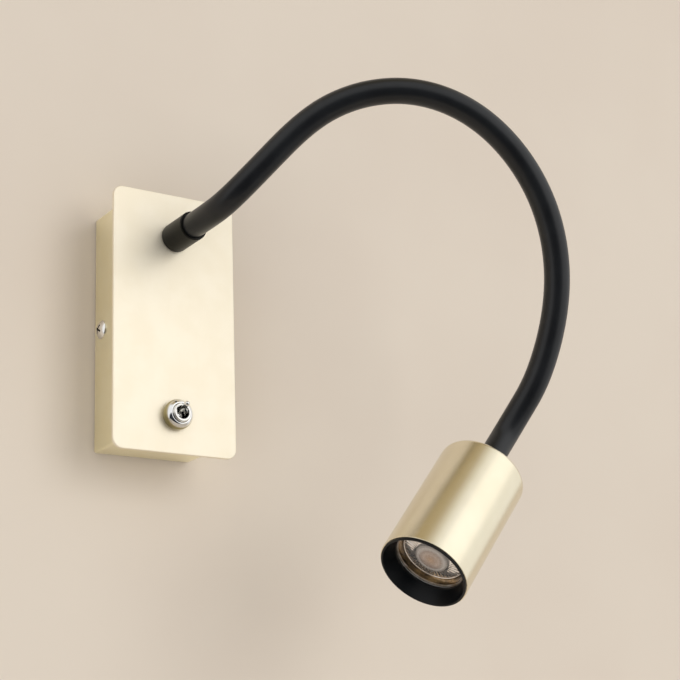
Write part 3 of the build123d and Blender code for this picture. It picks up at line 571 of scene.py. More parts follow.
class Finish:
    """A material whose Principled shader takes plain numbers on its own sockets and patterns by links."""

    def __init__(self, name, **sockets):
        self.material = bpy.data.materials.new(name)
        self.material.use_nodes = True
        self.tree = self.material.node_tree
        self.shader = self.tree.nodes["Principled BSDF"]
        for label, value in sockets.items():
            self.shader.inputs[label.replace("_", " ")].default_value = value
        self.place = node(self.tree, "ShaderNodeTexCoord").outputs["Object"]
        self.base = None

    def link(self, output, socket):
        """Links an output to one of the shader's sockets."""
        self.tree.links.new(output, self.shader.inputs[socket])

    def turned_place(self, origin, direction, up=(0, 0, 1)):
        """Coordinates whose X runs along a direction from an origin in millimetres."""
        x = Vector(direction).normalized()
        z = (Vector(up) - x * Vector(up).dot(x)).normalized()
        turn = Matrix((x, z.cross(x), z))
        mapping = node(self.tree, "ShaderNodeMapping", vector_type="POINT")
        mapping.inputs["Rotation"].default_value = turn.to_euler("XYZ")
        mapping.inputs["Location"].default_value = -(turn @ mm(origin))
        self.tree.links.new(self.place, mapping.inputs["Vector"])
        return mapping.outputs["Vector"]

    def group(self, which, vector, **values):
        """Outputs of a shader group at a vector."""
        made = node(self.tree, "ShaderNodeGroup", node_tree=which)
        self.tree.links.new(vector, made.inputs["Vector"])
        for label, value in values.items():
            made.inputs[label.replace("_", " ")].default_value = value
        return made.outputs

    def patches(self, first, second, size, contrast):
        """Cloudy base colour between two colours."""
        self.base = self.group(SOFT_PATCHES, self.place, Patch_Size=size, First_Colour=(*first, 1),
                               Second_Colour=(*second, 1), Contrast=contrast)["Colour"]
        self.link(self.base, "Base Color")

    def rough_between(self, mask, low, high):
        """Roughness that follows a mask between two levels."""
        self.link(ranged(self.tree, mask, 0.0, 1.0, low, high), "Roughness")

    def bumped(self, height, distance, strength):
        """Bump from a height, with its depth in metres."""
        bump = node(self.tree, "ShaderNodeBump")
        bump.inputs["Distance"].default_value = distance
        bump.inputs["Strength"].default_value = strength
        self.tree.links.new(height, bump.inputs["Height"])
        self.link(bump.outputs["Normal"], "Normal")

    def grained(self, size, unevenness, low, high, bump, strength, place=None):
        """Fine grain that sets both roughness and bump."""
        vector = self.place if place is None else place
        grain = self.group(FINE_GRAIN, vector, Grain_Size=size, Unevenness=unevenness)
        self.rough_between(grain["Mask"], low, high)
        self.bumped(grain["Height"], bump, strength)

    def marked(self, colour, mask):
        """Lays another colour over the cloudy one where a mask is 1."""
        self.link(mixed(self.tree, self.base, (*colour, 1), mask), "Base Color")

    def let_through(self, share, colour=(1, 1, 1)):
        """Makes the surface transparent where share is 1."""
        clear = node(self.tree, "ShaderNodeBsdfTransparent")
        clear.inputs["Color"].default_value = (*colour, 1)
        mix = node(self.tree, "ShaderNodeMixShader")
        self.tree.links.new(share, mix.inputs["Fac"])
        self.tree.links.new(self.shader.outputs[0], mix.inputs[1])
        self.tree.links.new(clear.outputs[0], mix.inputs[2])
        self.tree.links.new(mix.outputs[0], self.tree.nodes["Material Output"].inputs["Surface"])


def satin_brass(name, origin, direction, up, metallic, low, high, pale, deep):
    """Pale champagne-gold satin finish, cloudy, with the faintest brushing along a direction."""
    finish = Finish(name, Metallic=metallic, Coat_Weight=0.1, Coat_Roughness=0.3, Coat_IOR=1.45)
    finish.patches(pale, deep, 0.022, 1.0)
    place = finish.turned_place(origin, direction, up)
    lines = finish.group(BRUSHED_LINES, place, Line_Width=0.0005, Line_Length=0.06)
    finish.rough_between(lines["Mask"], low, high)
    finish.bumped(lines["Height"], 0.000001, 0.15)
    return finish.material


def grained_finish(name, colours, patch, contrast, grain, bump, along_uv=False, **sockets):
    """A finish with cloudy colour and fine grain. grain is its size, unevenness and two roughness levels,
    and bump its depth in metres and its strength."""
    finish = Finish(name, **sockets)
    finish.patches(*colours, patch, contrast)
    place = node(finish.tree, "ShaderNodeUVMap", uv_map="UVMap").outputs["UV"] if along_uv else None
    finish.grained(*grain, *bump, place)
    return finish.material


def bare_metal(name, colours, patch, contrast, grain):
    """Bare or plated metal of the hidden pieces."""
    return grained_finish(name, colours, patch, contrast, grain, (0.00001, 0.4), Metallic=1.0)


def moulded(name, first, second, low, high, grain_size=0.0005, bump=0.00002, **sockets):
    """Moulded plastic, insulation or glazed ceramic."""
    return grained_finish(name, (first, second), 0.012, 0.9, (grain_size, 0.6, low, high), (bump, 0.4),
                  Metallic=0.0, **sockets)


def optic_part(name, first, second, patch_size, metallic, low, high):
    """Moulded optic seen as glossy plastic over what lies behind it."""
    return grained_finish(name, (first, second), patch_size, 1.0, (0.0008, 0.6, low, high), (0.00001, 0.4),
                  Metallic=metallic, Coat_Weight=1.0, Coat_Roughness=0.04)


def bright_plate(name, colour, low, high):
    """Chrome or nickel plate with slight handling haze."""
    finish = Finish(name, Metallic=1.0)
    finish.patches(colour, [c * 0.92 for c in colour], 0.006, 0.8)
    marks = finish.group(RUBBED_MARKS, finish.place, Mark_Size=0.0015, Amount=0.5)
    finish.rough_between(marks["Mask"], low, high)
    grain = finish.group(FINE_GRAIN, finish.place, Grain_Size=0.0006, Unevenness=0.5)
    finish.bumped(grain["Height"], 0.000003, 0.3)
    return finish


def nut_chrome():
    """Chrome whose skirt near the plate is painted dark olive: a painted reflection of the brass plate and
    painted shade at the nut's base.
    """
    finish = bright_plate("nut_chrome", (0.86, 0.86, 0.85), 0.05, 0.12)
    across = parts_of(finish.tree, finish.place)["Y"]
    painted_reflection_shade = ranged(finish.tree, across, -mm(PLATE_FRONT + 7.0), -mm(PLATE_FRONT + 5.2))
    # Painted reflection and shade: the skirt turns dark olive towards the plate.
    finish.marked((0.36, 0.315, 0.17), painted_reflection_shade)
    return finish.material


def screw_chrome():
    """Chrome with painted shade: a dark colour down in the screw's cross recess."""
    finish = bright_plate("screw_chrome", (0.86, 0.85, 0.83), 0.06, 0.13)
    tree, place = finish.tree, parts_of(finish.tree, finish.place)
    deep = maths(tree, "LESS_THAN", maths(tree, "ABSOLUTE", place["X"]), mm(COVER_WIDTH / 2 + 2.3))
    across = maths(tree, "POWER", maths(tree, "ADD", place["Y"], mm(SIDE_SCREW_OUT)), 2.0)
    reach = maths(tree, "ADD", across, maths(tree, "POWER", place["Z"], 2.0))
    inside = maths(tree, "LESS_THAN", reach, mm(3.25) ** 2)
    # Painted shade: the cross recess is darkened where shade falls.
    finish.marked((0.03, 0.027, 0.022), maths(tree, "MULTIPLY", deep, inside))
    return finish.material


def earth_stripes():
    """Green insulation with yellow stripes along the core."""
    finish = Finish("earth_insulation", Metallic=0.0)
    stripe = node(finish.tree, "ShaderNodeTexWave", wave_type="BANDS", bands_direction="DIAGONAL")
    stripe.inputs["Scale"].default_value = 180
    finish.tree.links.new(finish.turned_place((0, 0, 0), (0, 1, 0)), stripe.inputs["Vector"])
    yellow = ranged(finish.tree, stripe.outputs["Fac"], 0.45, 0.55)
    finish.link(mixed(finish.tree, (0.02, 0.16, 0.04, 1), (0.62, 0.50, 0.03, 1), yellow), "Base Color")
    grain = finish.group(FINE_GRAIN, finish.place, Grain_Size=0.0005, Unevenness=0.6)
    finish.rough_between(grain["Mask"], 0.35, 0.48)
    return finish.material


def optic_clear():
    """Clear moulded optic. It lets light through to what lies behind it."""
    finish = Finish("optic_clear", Metallic=0.0, IOR=1.49, Transmission_Weight=1.0)
    finish.patches((0.97, 0.955, 0.93), (0.93, 0.91, 0.885), 0.006, 0.8)
    finish.grained(0.0012, 0.5, 0.02, 0.06, 0.000008, 0.4)
    shadow = node(finish.tree, "ShaderNodeLightPath").outputs["Is Shadow Ray"]
    finish.let_through(shadow, (0.92, 0.91, 0.88))
    return finish.material


DOME_REACH = 0.0105
# Colours painted on the optic's dome, by their share of that reach from its middle; its lighter and darker rings
# are painted light and shade on the clear lens's steps
DOME_COLOURS = [
    (0.0, (0.40, 0.25, 0.15)), (0.30, (0.36, 0.26, 0.20)), (0.42, (0.44, 0.34, 0.28)),
    (0.60, (0.33, 0.26, 0.22)), (0.78, (0.50, 0.46, 0.43)), (0.92, (0.30, 0.27, 0.25)),
    (1.0, (0.62, 0.61, 0.58)),
]


def optic_dome():
    """Central lens painted opaque: amber in its middle, then pink-brown, with rings of painted light and shade,
    then grey at its rim.
    """
    finish = Finish("optic_dome", Metallic=0.0, Coat_Weight=1.0, Coat_Roughness=0.03)
    tree = finish.tree
    place = parts_of(tree, finish.turned_place(HEAD_TOP, HEAD_AXIS, HEAD_SIDE))
    reach = node(tree, "ShaderNodeVectorMath", operation="LENGTH")
    tree.links.new(joined(tree, Y=place["Y"], Z=place["Z"]), reach.inputs[0])
    ramp = node(tree, "ShaderNodeValToRGB")
    tree.links.new(maths(tree, "DIVIDE", reach.outputs["Value"], DOME_REACH), ramp.inputs[0])
    stops = ramp.color_ramp.elements
    stops[0].color, stops[1].color = (*DOME_COLOURS[0][1], 1), (*DOME_COLOURS[-1][1], 1)
    for position, colour in DOME_COLOURS[1:-1]:
        stops.new(position).color = (*colour, 1)
    finish.link(ramp.outputs["Color"], "Base Color")
    finish.grained(0.0012, 0.5, 0.2, 0.3, 0.00001, 0.3)
    return finish.material


PLATE_BRASS = satin_brass("plate_satin_brass", (0, -47, 0), (0, 0, 1), (0, -1, 0), 0.6, 0.4, 0.46,
                          (0.93, 0.845, 0.68), (0.905, 0.815, 0.64))
# The box's brass is painted paler than the plate's and the head's: a lit copy of the same brass that stands for
# light its sides lack.
BOX_BRASS = satin_brass("box_satin_brass", (0, -20, 0), (0, 0, 1), (0, -1, 0), 1.0, 0.34, 0.38,
                        (0.97, 0.925, 0.70), (0.95, 0.895, 0.65))
HEAD_BRASS = satin_brass("head_satin_brass", HEAD_TOP, HEAD_AXIS, HEAD_SIDE, 1.0, 0.25, 0.27,
                         (0.84, 0.775, 0.605), (0.815, 0.745, 0.57))
# Satin black stoved paint of the collar, blue-black sleeve of the neck, matt black inside the head's mouth
COLLAR_BLACK = grained_finish("black_lacquer", ((0.004, 0.0036, 0.002), (0.0065, 0.006, 0.0035)), 0.006, 0.9,
                      (0.00025, 0.6, 0.36, 0.46), (0.000012, 0.5), Metallic=0.0, Specular_IOR_Level=0.24)
NECK_BLACK = grained_finish("neck_rubber", ((0.0045, 0.005, 0.0062), (0.0075, 0.0085, 0.010)), 0.02, 0.9,
                    (0.0003, 0.6, 0.3, 0.36), (0.000012, 0.4), True, Metallic=0.0, Specular_IOR_Level=0.38)
BAFFLE_BLACK = grained_finish("baffle_black", ((0.0008, 0.0012, 0.0019), (0.0017, 0.0023, 0.0034)), 0.008, 0.9,
                      (0.0003, 0.6, 0.3, 0.38), (0.00001, 0.5), Metallic=0.0, Specular_IOR_Level=0.24)
CHROME = bright_plate("chrome_plate", (0.86, 0.86, 0.84), 0.05, 0.12).material
NUT_CHROME = nut_chrome()
SCREW_CHROME = screw_chrome()
NICKEL = bright_plate("nickel_plate", (0.80, 0.785, 0.75), 0.08, 0.16).material
ZINC = bare_metal("zinc_plate", ((0.58, 0.59, 0.60), (0.44, 0.45, 0.47)), 0.004, 1.0,
                  (0.0012, 0.7, 0.3, 0.48))
SPRING = bare_metal("spring_steel", ((0.36, 0.35, 0.34), (0.22, 0.21, 0.20)), 0.01, 1.0,
                    (0.0005, 0.6, 0.3, 0.45))
TINNED = bare_metal("tinned_brass", ((0.66, 0.64, 0.60), (0.60, 0.52, 0.34)), 0.005, 0.7,
                    (0.0008, 0.6, 0.28, 0.42))
WHITE_NYLON = moulded("white_nylon", (0.72, 0.71, 0.67), (0.62, 0.60, 0.55), 0.38, 0.5,
                      Subsurface_Weight=0.1, Subsurface_Radius=(0.002, 0.002, 0.0016), Subsurface_Scale=1.0)
DARK_PHENOLIC = moulded("dark_phenolic", (0.022, 0.014, 0.010), (0.035, 0.022, 0.015), 0.3, 0.42)
BLACK_PVC = moulded("black_insulation", (0.018, 0.018, 0.018), (0.028, 0.028, 0.028), 0.38, 0.5)
BLUE_PVC = moulded("blue_insulation", (0.02, 0.09, 0.33), (0.03, 0.12, 0.40), 0.35, 0.46)
BROWN_PVC = moulded("brown_insulation", (0.10, 0.035, 0.015), (0.14, 0.05, 0.022), 0.35, 0.46)
EARTH_PVC = earth_stripes()
STEATITE = moulded("steatite", (0.74, 0.72, 0.66), (0.66, 0.63, 0.57), 0.55, 0.72, 0.0007, 0.00004)
LAMP_WHITE = moulded("lamp_white", (0.74, 0.73, 0.70), (0.66, 0.65, 0.62), 0.3, 0.42)
BOARD_WHITE = moulded("board_white", (0.75, 0.74, 0.72), (0.70, 0.69, 0.66), 0.35, 0.5)
PHOSPHOR = moulded("phosphor", (0.80, 0.52, 0.10), (0.74, 0.45, 0.07), 0.4, 0.55)
RUBBER = moulded("grommet_rubber", (0.015, 0.015, 0.015), (0.025, 0.025, 0.025), 0.5, 0.65)
OPTIC_CLEAR = optic_clear()
OPTIC_FLANGE = optic_part("optic_flange", (0.40, 0.34, 0.29), (0.20, 0.15, 0.10), 0.006, 0.0, 0.25, 0.4)
OPTIC_AMBER = optic_part("optic_amber", (0.05, 0.032, 0.018), (0.42, 0.27, 0.12), 0.007, 0.75, 0.12, 0.22)
OPTIC_MIRROR = optic_part("optic_mirror", (0.97, 0.94, 0.92), (0.86, 0.81, 0.78), 0.004, 0.9, 0.04, 0.08)
OPTIC_DOME = optic_dome()


def give(made, material):
    """Sets a piece's only material."""
    made.data.materials.clear()
    made.data.materials.append(material)
    return made


def stand_for(made, replaced, body, material, angle=38):
    """Finishes a piece that stands for a node of the frame and rides on one body."""
    smooth_faces(made, angle)
    give(made, material)
    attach(made, body)
    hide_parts(replaced)


# ------------------------------------------------------------------ camera, wall, floor and light
def photograph_camera():
    """Camera with the place, in metres, and the directions that were fitted to the photograph."""
    place = (-0.45657, -0.92651, -0.31715)
    right = Vector((0.84019, -0.54113, -0.03561))
    down = Vector((0.12964, 0.26417, -0.95572))
    forward = Vector((0.52658, 0.79837, 0.29211))
    data = bpy.data.cameras.new("camera")
    data.lens = 87.23
    data.sensor_width = 36
    data.sensor_fit = "HORIZONTAL"
    data.clip_start = 0.01
    camera = put_in_scene("camera", data)
    turn = Matrix((right, -down, -forward)).transposed().to_4x4()
    camera.matrix_world = Matrix.Translation(place) @ turn
    bpy.context.scene.camera = camera


def pale_sheet(name, corners, low_colour, high_colour):
    """A flat backdrop that shows from its front and not from behind, and lets light reach the lamp's back."""
    finish = Finish(name + "_paint", Metallic=0.0, Roughness=0.9, Specular_IOR_Level=0.2)
    finish.patches(low_colour, high_colour, 0.25, 1.0)
    grain = finish.group(FINE_GRAIN, finish.place, Grain_Size=0.002, Unevenness=0.6)
    finish.bumped(grain["Height"], 0.00003, 0.3)
    behind = node(finish.tree, "ShaderNodeNewGeometry").outputs["Backfacing"]
    shadow = node(finish.tree, "ShaderNodeLightPath").outputs["Is Shadow Ray"]
    finish.let_through(maths(finish.tree, "MAXIMUM", behind, shadow))
    mesh = bpy.data.meshes.new(name)
    mesh.from_pydata(corners, [], [(0, 1, 2, 3)])
    give(put_in_scene(name, mesh), finish.material)


LIGHT_AIM = Vector((0.05, -0.05, 0.0))


def soft_box(name, place, width, height, strength):
    """A white light aimed at the lamp, whose brightness is its strength, whatever its size."""
    data = bpy.data.lights.new(name, "AREA")
    data.shape = "RECTANGLE"
    data.size = width
    data.size_y = height
    data.energy = strength * math.pi * width * height
    light = put_in_scene(name, data)
    light.location = place
    light.rotation_euler = (LIGHT_AIM - Vector(place)).to_track_quat("-Z", "Y").to_euler()
    return light


PLAIN_DAYLIGHT = (0.60, 0.60, 0.60, 1)
EYE_LEVEL = (1.0, 0.995, 0.985, 1)
OVERHEAD = (0.43, 0.335, 0.175, 1)
UNDERFOOT = (0.40, 0.39, 0.37, 1)
DARK_DOORWAY = (0.03, 0.033, 0.038, 1)
DOORWAY_SIDE = Vector((-0.42, -0.72, -0.55)).normalized()


def surroundings():
    """World light: plain for what it lights, while shiny surfaces show a room that is pale at eye level,
    dim underfoot and brown overhead, with a dark doorway to the front left."""
    world = bpy.data.worlds.new("studio")
    world.use_nodes = True
    tree = world.node_tree
    direction = node(tree, "ShaderNodeTexCoord").outputs["Generated"]
    height = parts_of(tree, direction)["Z"]
    facing = node(tree, "ShaderNodeVectorMath", operation="DOT_PRODUCT")
    facing.inputs[1].default_value = DOORWAY_SIDE
    tree.links.new(direction, facing.inputs[0])
    # Both the height and the facing of a direction run from -1 to 1
    room = mixed(tree, EYE_LEVEL, OVERHEAD, ranged(tree, height, 0.78, 0.97))
    room = mixed(tree, room, UNDERFOOT, ranged(tree, height, -0.25, -0.6))
    room = mixed(tree, room, DARK_DOORWAY, ranged(tree, facing.outputs["Value"], 0.66, 0.80))
    ray = node(tree, "ShaderNodeLightPath").outputs
    shiny = maths(tree, "MAXIMUM", ray["Is Glossy Ray"], ray["Is Transmission Ray"])
    tree.links.new(mixed(tree, PLAIN_DAYLIGHT, room, shiny), tree.nodes["Background"].inputs["Color"])
    bpy.context.scene.world = world


def studio():
    """Wall, floor, lights and surroundings, in metres, seen without any change of tone."""
    left, right, wall, floor_front, floor, ceiling = -2.5, 2.5, 0.0004, -1.0, -1.5, 2.2
    wall_corners = [(left, wall, floor), (right, wall, floor), (right, wall, ceiling), (left, wall, ceiling)]
    floor_corners = [
        (left, floor_front, floor), (right, floor_front, floor), (right, wall, floor), (left, wall, floor),
    ]
    pale_sheet("pale_wall", wall_corners, srgb(214, 201, 186), srgb(217, 205, 190))
    pale_sheet("pale_floor", floor_corners, srgb(212, 204, 192), srgb(216, 208, 196))
    soft_box("large_soft_box", (1.15, -1.75, 0.75), 1.9, 1.6, 0.32)
    for name, place, size, strength in (
        ("fill_from_right", (0.7, -2.3, 0.3), 1.5, 2.9), ("fill_from_below", (-1.1, -1.3, -0.75), 1.2, 1.4),
    ):
        soft_box(name, place, size, size, strength).visible_glossy = False
    surroundings()
    bpy.context.scene.view_settings.view_transform = "Standard"


# ------------------------------------------------------------------ wall box
def front_holes(out):
    """Cutters for the neck's and the switch's holes, centred at a distance from the wall."""
    return [rod((0, -out, height), TO_ROOM, radius, 5)
            for height, radius in ((NECK_HEIGHT, NECK_HOLE), (SWITCH_HEIGHT, SWITCH_HOLE))]


def front_plate():
    """Brass plate with rounded corners and a hole for the neck and for the switch."""
    plate = slab("front_plate_brass", 85, 170, 6.5, PLATE_BACK, PLATE_FRONT, 0.5)
    cut(plate, front_holes((PLATE_BACK + PLATE_FRONT) / 2))
    stand_for(plate, "front_plate", "root", PLATE_BRASS)


def cover_box():
    """Open-backed sheet box behind the plate, with the same two holes and one through both sides."""
    box = slab("cover_box_brass", COVER_WIDTH, COVER_HEIGHT, 1.6, 1.0, PLATE_BACK, 0.2, 0.25)
    hollow = slab("hollow_cutter", COVER_WIDTH - 2 * COVER_SHEET, COVER_HEIGHT - 2 * COVER_SHEET, 0.4,
                  -2.0, PLATE_BACK - COVER_SHEET, 0.1, 0.1)
    side_holes = rod((0, -SIDE_SCREW_OUT, 0), (1, 0, 0), 2.25, 60)
    cut(box, [hollow, *front_holes(PLATE_BACK - COVER_SHEET / 2), side_holes])
    stand_for(box, "cover_box", "root", BOX_BRASS)


def side_screws():
    """A domed screw in each side of the box, with a cross recess that stands a little turned."""
    dome = along_arc((0.0, 3.0), (3.8, 2.1), (5.8, 0.7), 16)
    rim = along_arc((5.8, 0.7), (5.97, 0.48), (6.0, 0.3), 4)
    outline = [(0, -8), (1.7, -8), (2.0, -7.7), (2.0, -0.05), (2.05, 0), (5.85, 0), (6.0, 0.12)]
    outline += rim[::-1] + dome[::-1] + [(0.0, 3.0)]
    bm = bmesh.new()
    for side in (-1, 1):
        seat = Vector((side * COVER_WIDTH / 2, -SIDE_SCREW_OUT, 0))
        outward = Vector((side, 0, 0))
        screw = turned("side_screw", seat, outward, outline, 96)
        slots = []
        for degrees in (35, 125):
            along = Vector((0, math.cos(math.radians(degrees)), math.sin(math.radians(degrees))))
            across = outward.cross(along)
            slots.append(bar("slot_cutter", seat + outward * 2.8, along, across, outward, (6.4, 1.2, 2.4)))
        cut(screw, slots)
        bm.from_mesh(screw.data)
        bpy.data.objects.remove(screw, do_unlink=True)
    screws = from_bmesh("side_screws_chrome", bm)
    bevel_edges(screws, 0.08, 40)
    stand_for(screws, "side_screws", "root", SCREW_CHROME, 40)


# ------------------------------------------------------------------ neck
def neck_collar():
    """Black collar on the plate, open towards the room to take the sleeve."""
    floor, mouth, outer, bore = 50.0, 73.0, 9.5, 8.1
    outline = eased([
        (NECK_HOLE, PLATE_FRONT, 0.1), (outer, PLATE_FRONT, 1.5), (outer, mouth, 0.6),
        (bore, mouth, 0.15), (bore, floor, 0.1), (NECK_HOLE, floor, 0.1),
    ])
    collar = turned("neck_collar_black", (0, 0, NECK_HEIGHT), TO_ROOM, outline)
    stand_for(collar, "neck_collar", "root", COLLAR_BLACK)


def stretch_on(line, stretch, ends):
    """First and last point of a stretch on a line. The outer stretches go on to the piece's own ends."""
    part, _, _, start, end = stretch
    first = ends[0] if part == "rise" else nearest(line, start)
    last = ends[1] if part == "fall" else nearest(line, end)
    return first, last


def neck_pieces():
    """Sleeve, spring spine and cable, each in three stretches along the neck."""
    line = even_steps(centre_line(NECK_POINTS), 0.0012)
    cable = even_steps(centre_line(CABLE_POINTS), 0.002)
    line_ends, cable_ends = (0, len(line) - 1), (0, len(cable) - 1)
    spine_ends = nearest(line, (0, -63.8, NECK_HEIGHT)), nearest(line, HEAD_TOP - HEAD_AXIS * 13.8)
    for stretch in STRETCHES:
        part, body_a, body_b, start, end = stretch
        sleeve = tube("neck_sleeve_" + part, line, 8.0, 6.15, *stretch_on(line, stretch, line_ends), 72)
        first, last = stretch_on(line, stretch, spine_ends)
        spine = wound_spring("neck_spine_" + part, line[first:last + 1])
        core = tube("neck_cable_" + part, cable, 2.6, 0, *stretch_on(cable, stretch, cable_ends), 24)
        for made, replaced, material, slot in (
            (sleeve, "neck_sleeve", NECK_BLACK, "black_rubber"), (spine, "neck_spine", SPRING, "spring_steel"),
            (core, "neck_cable", BLACK_PVC, "black_pvc"),
        ):
            give(made, material)
            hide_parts(replaced)
            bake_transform(made)


def winding_tree():
    """Geometry nodes: winds a wire round a line, a turn for each pitch of its length."""
    tree = bpy.data.node_groups.new("wound wire", "GeometryNodeTree")
    tree.interface.new_socket("Line", in_out="INPUT", socket_type="NodeSocketGeometry")
    for label, start in SPRING_SIZES.items():
        tree.interface.new_socket(label, in_out="INPUT", socket_type="NodeSocketFloat").default_value = start
    tree.interface.new_socket("Wire", in_out="INPUT", socket_type="NodeSocketMaterial")
    tree.interface.new_socket("Spring", in_out="OUTPUT", socket_type="NodeSocketGeometry")
    given, result = tree.nodes.new("NodeGroupInput").outputs, tree.nodes.new("NodeGroupOutput")

    def step(kind, inputs, **values):
        """First output of a new node, whose inputs are given by name or number."""
        made = node(tree, kind, **values)
        for label, value in inputs.items():
            feed(tree, value, made.inputs[label])
        return made.outputs[0]

    curve = step("GeometryNodeMeshToCurve", {0: given["Line"]})
    points_apart = maths(tree, "DIVIDE", given["Pitch"], 14.0)
    points = step("GeometryNodeResampleCurve", {"Curve": curve, "Length": points_apart}, mode="LENGTH")
    travelled = node(tree, "GeometryNodeSplineParameter").outputs["Length"]
    angle = maths(tree, "MULTIPLY", maths(tree, "DIVIDE", travelled, given["Pitch"]), math.tau)
    normal, tangent = step("GeometryNodeInputNormal", {}), step("GeometryNodeInputTangent", {})
    outward = step("ShaderNodeVectorRotate", {"Vector": normal, "Axis": tangent, "Angle": angle},
                   rotation_type="AXIS_ANGLE")
    reach = step("ShaderNodeVectorMath", {0: outward, "Scale": given["Winding Radius"]}, operation="SCALE")
    wound = step("GeometryNodeSetPosition", {"Geometry": points, "Offset": reach})
    profile = step("GeometryNodeCurvePrimitiveCircle", {"Resolution": 7, "Radius": given["Wire Radius"]})
    wire = step("GeometryNodeCurveToMesh", {"Curve": wound, "Profile Curve": profile, "Fill Caps": True})
    real = step("GeometryNodeRealizeInstances", {0: wire})
    coated = step("GeometryNodeSetMaterial", {"Geometry": real, "Material": given["Wire"]})
    tree.links.new(coated, result.inputs[0])
    return tree


def by_nodes(made, tree, values):
    """Runs a geometry node tree on a piece, with its inputs by name, and keeps the finished mesh."""
    modifier = made.modifiers.new("repeat", "NODES")
    modifier.node_group = tree
    sockets = {s.name: s.identifier for s in tree.interface.items_tree if s.in_out == "INPUT"}
    for label, value in values.items():
        modifier[sockets[label]] = value
    return as_plain_mesh(made)


WINDING = winding_tree()


def wound_spring(name, line):
    """Spring wire wound round a line of points."""
    mesh = bpy.data.meshes.new(name)
    mesh.from_pydata([tuple(p) for p in line], [(i, i + 1) for i in range(len(line) - 1)], [])
    return shaded_smooth(by_nodes(put_in_scene(name, mesh), WINDING, {**SPRING_SIZES, "Wire": SPRING}))


# ------------------------------------------------------------------ toggle switch
def switch_bushing():
    """Threaded bushing with a keyway on top, and the switch's frame behind it."""
    front, foot, pitch = 57.0, 38.6, 0.794
    crest, groove, bore = 5.95, 5.6, 4.2
    keyway_floor, keyway_half_width = 5.15, 0.9
    outline = [(bore, foot - 1), (7.2, foot - 1), (7.2, foot), (crest, foot)]
    thread = foot + 0.6
    while thread < front - 1.6:
        outline += [(crest, thread), (groove, thread + 0.2), (groove, thread + 0.28), (crest, thread + 0.48)]
        thread += pitch
    outline += [(crest, front - 0.6)]
    outline += along_arc((crest, front - 0.6), (5.82, front - 0.22), (5.5, front - 0.03), 5)
    outline += [(5.4, front), (4.45, front)]
    outline += along_arc((4.45, front), (4.27, front - 0.08), (bore, front - 0.25), 5)

    def keyway(radius, along, angle):
        across = radius * math.cos(angle)
        if along < foot + 0.1 or abs(across) > keyway_half_width or math.sin(angle) < 0:
            return radius, along
        return min(radius, keyway_floor / max(math.sin(angle), 0.2)), along

    bushing = turned("switch_bushing_nickel", (0, 0, SWITCH_HEIGHT), TO_ROOM, outline, 160, keyway)
    stand_for(bushing, "switch_bushing", "root", NICKEL, 32)
    centre = (0, 0.5 - foot, SWITCH_HEIGHT)
    switch_frame = bar("switch_frame_nickel", centre, (1, 0, 0), (0, 0, 1), TO_ROOM, (15, 29, 1))
    cut(switch_frame, [rod(centre, TO_ROOM, 7.25, 5)])
    bevel_edges(switch_frame, 0.15)
    stand_for(switch_frame, "switch_bushing", "root", NICKEL)


def dress_nut():
    """Domed nut: its skirt widens to a belly and closes towards the bushing."""
    base, belly, front = (9.0, PLATE_FRONT), (9.6, PLATE_FRONT + 3.4), (7.0, PLATE_FRONT + 8.2)
    outline = [(5.98, front[1] - 0.3), (5.98, PLATE_FRONT + 0.25), (6.2, PLATE_FRONT)]
    outline += bulge(belly, base)[::-1] + [belly] + bulge(belly, front, 26)
    outline += [(6.4, front[1] + 0.06), (6.12, front[1] - 0.06)]
    nut = turned("dress_nut_chrome", (0, 0, SWITCH_HEIGHT), TO_ROOM, outline, 160)
    stand_for(nut, "dress_nut", "root", NUT_CHROME, 32)


def toggle_lever():
    """Slim lever on a ball deep in the bushing, thickening to a round tip."""
    lean = math.radians(15)
    direction = Vector((0, -math.cos(lean), math.sin(lean)))
    ball, root, tip, length = 4.1, 1.2, 1.75, 17.5
    reach = math.sqrt(ball**2 - root**2)
    tip_start = length - tip
    halfway_round = tip * 0.7071
    outline = [(0, -9.0), (1.0, -9.0), (root, -8.8), (root, -reach)]
    outline += along_arc((root, -reach), (ball, 0), (root, reach), 24)
    outline += [(tip, tip_start)]
    outline += along_arc((tip, tip_start), (halfway_round, tip_start + halfway_round), (0, length), 14)
    lever = turned("toggle_lever_chrome", (0, -PLATE_FRONT, SWITCH_HEIGHT), direction, outline, 72)
    stand_for(lever, "toggle_lever", "toggle", CHROME, 30)


# ------------------------------------------------------------------ spot head
def head_shell():
    """Turned tube with a rounded shoulder, and a hole in its cap for the neck."""
    outer, inner, cap = 27.0, 25.7, 2.0
    outline = eased([
        (NECK_HOLE, 0.0, 0.25), (outer, 0.0, 3.0), (outer, TUBE_END, 0.3),
        (inner, TUBE_END, 0.2), (inner, cap, 0.6), (NECK_HOLE, cap, 0.1),
    ], 10)
    shell = turned("head_shell_brass", HEAD_TOP, HEAD_AXIS, outline, 192)
    stand_for(shell, "head_shell", "lamp_head", HEAD_BRASS, 30)


def baffle_ring():
    """Black ring in the tube's mouth, its bore opening towards the room."""
    back, front, in_tube, lip, bore = 75.9, 86.5, 25.65, 26.35, 21.3
    outline = eased([
        (in_tube, back, 0.1), (in_tube, TUBE_END, 0), (lip, TUBE_END, 0.1), (lip, front, 0.35),
        (25.2, front, 0.35), (bore, 77.5, 0.3), (bore, back, 0.15),
    ])
    ring = turned("baffle_ring_black", HEAD_TOP, HEAD_AXIS, outline, 192)
    stand_for(ring, "baffle_ring", "lamp_head", BAFFLE_BLACK, 30)


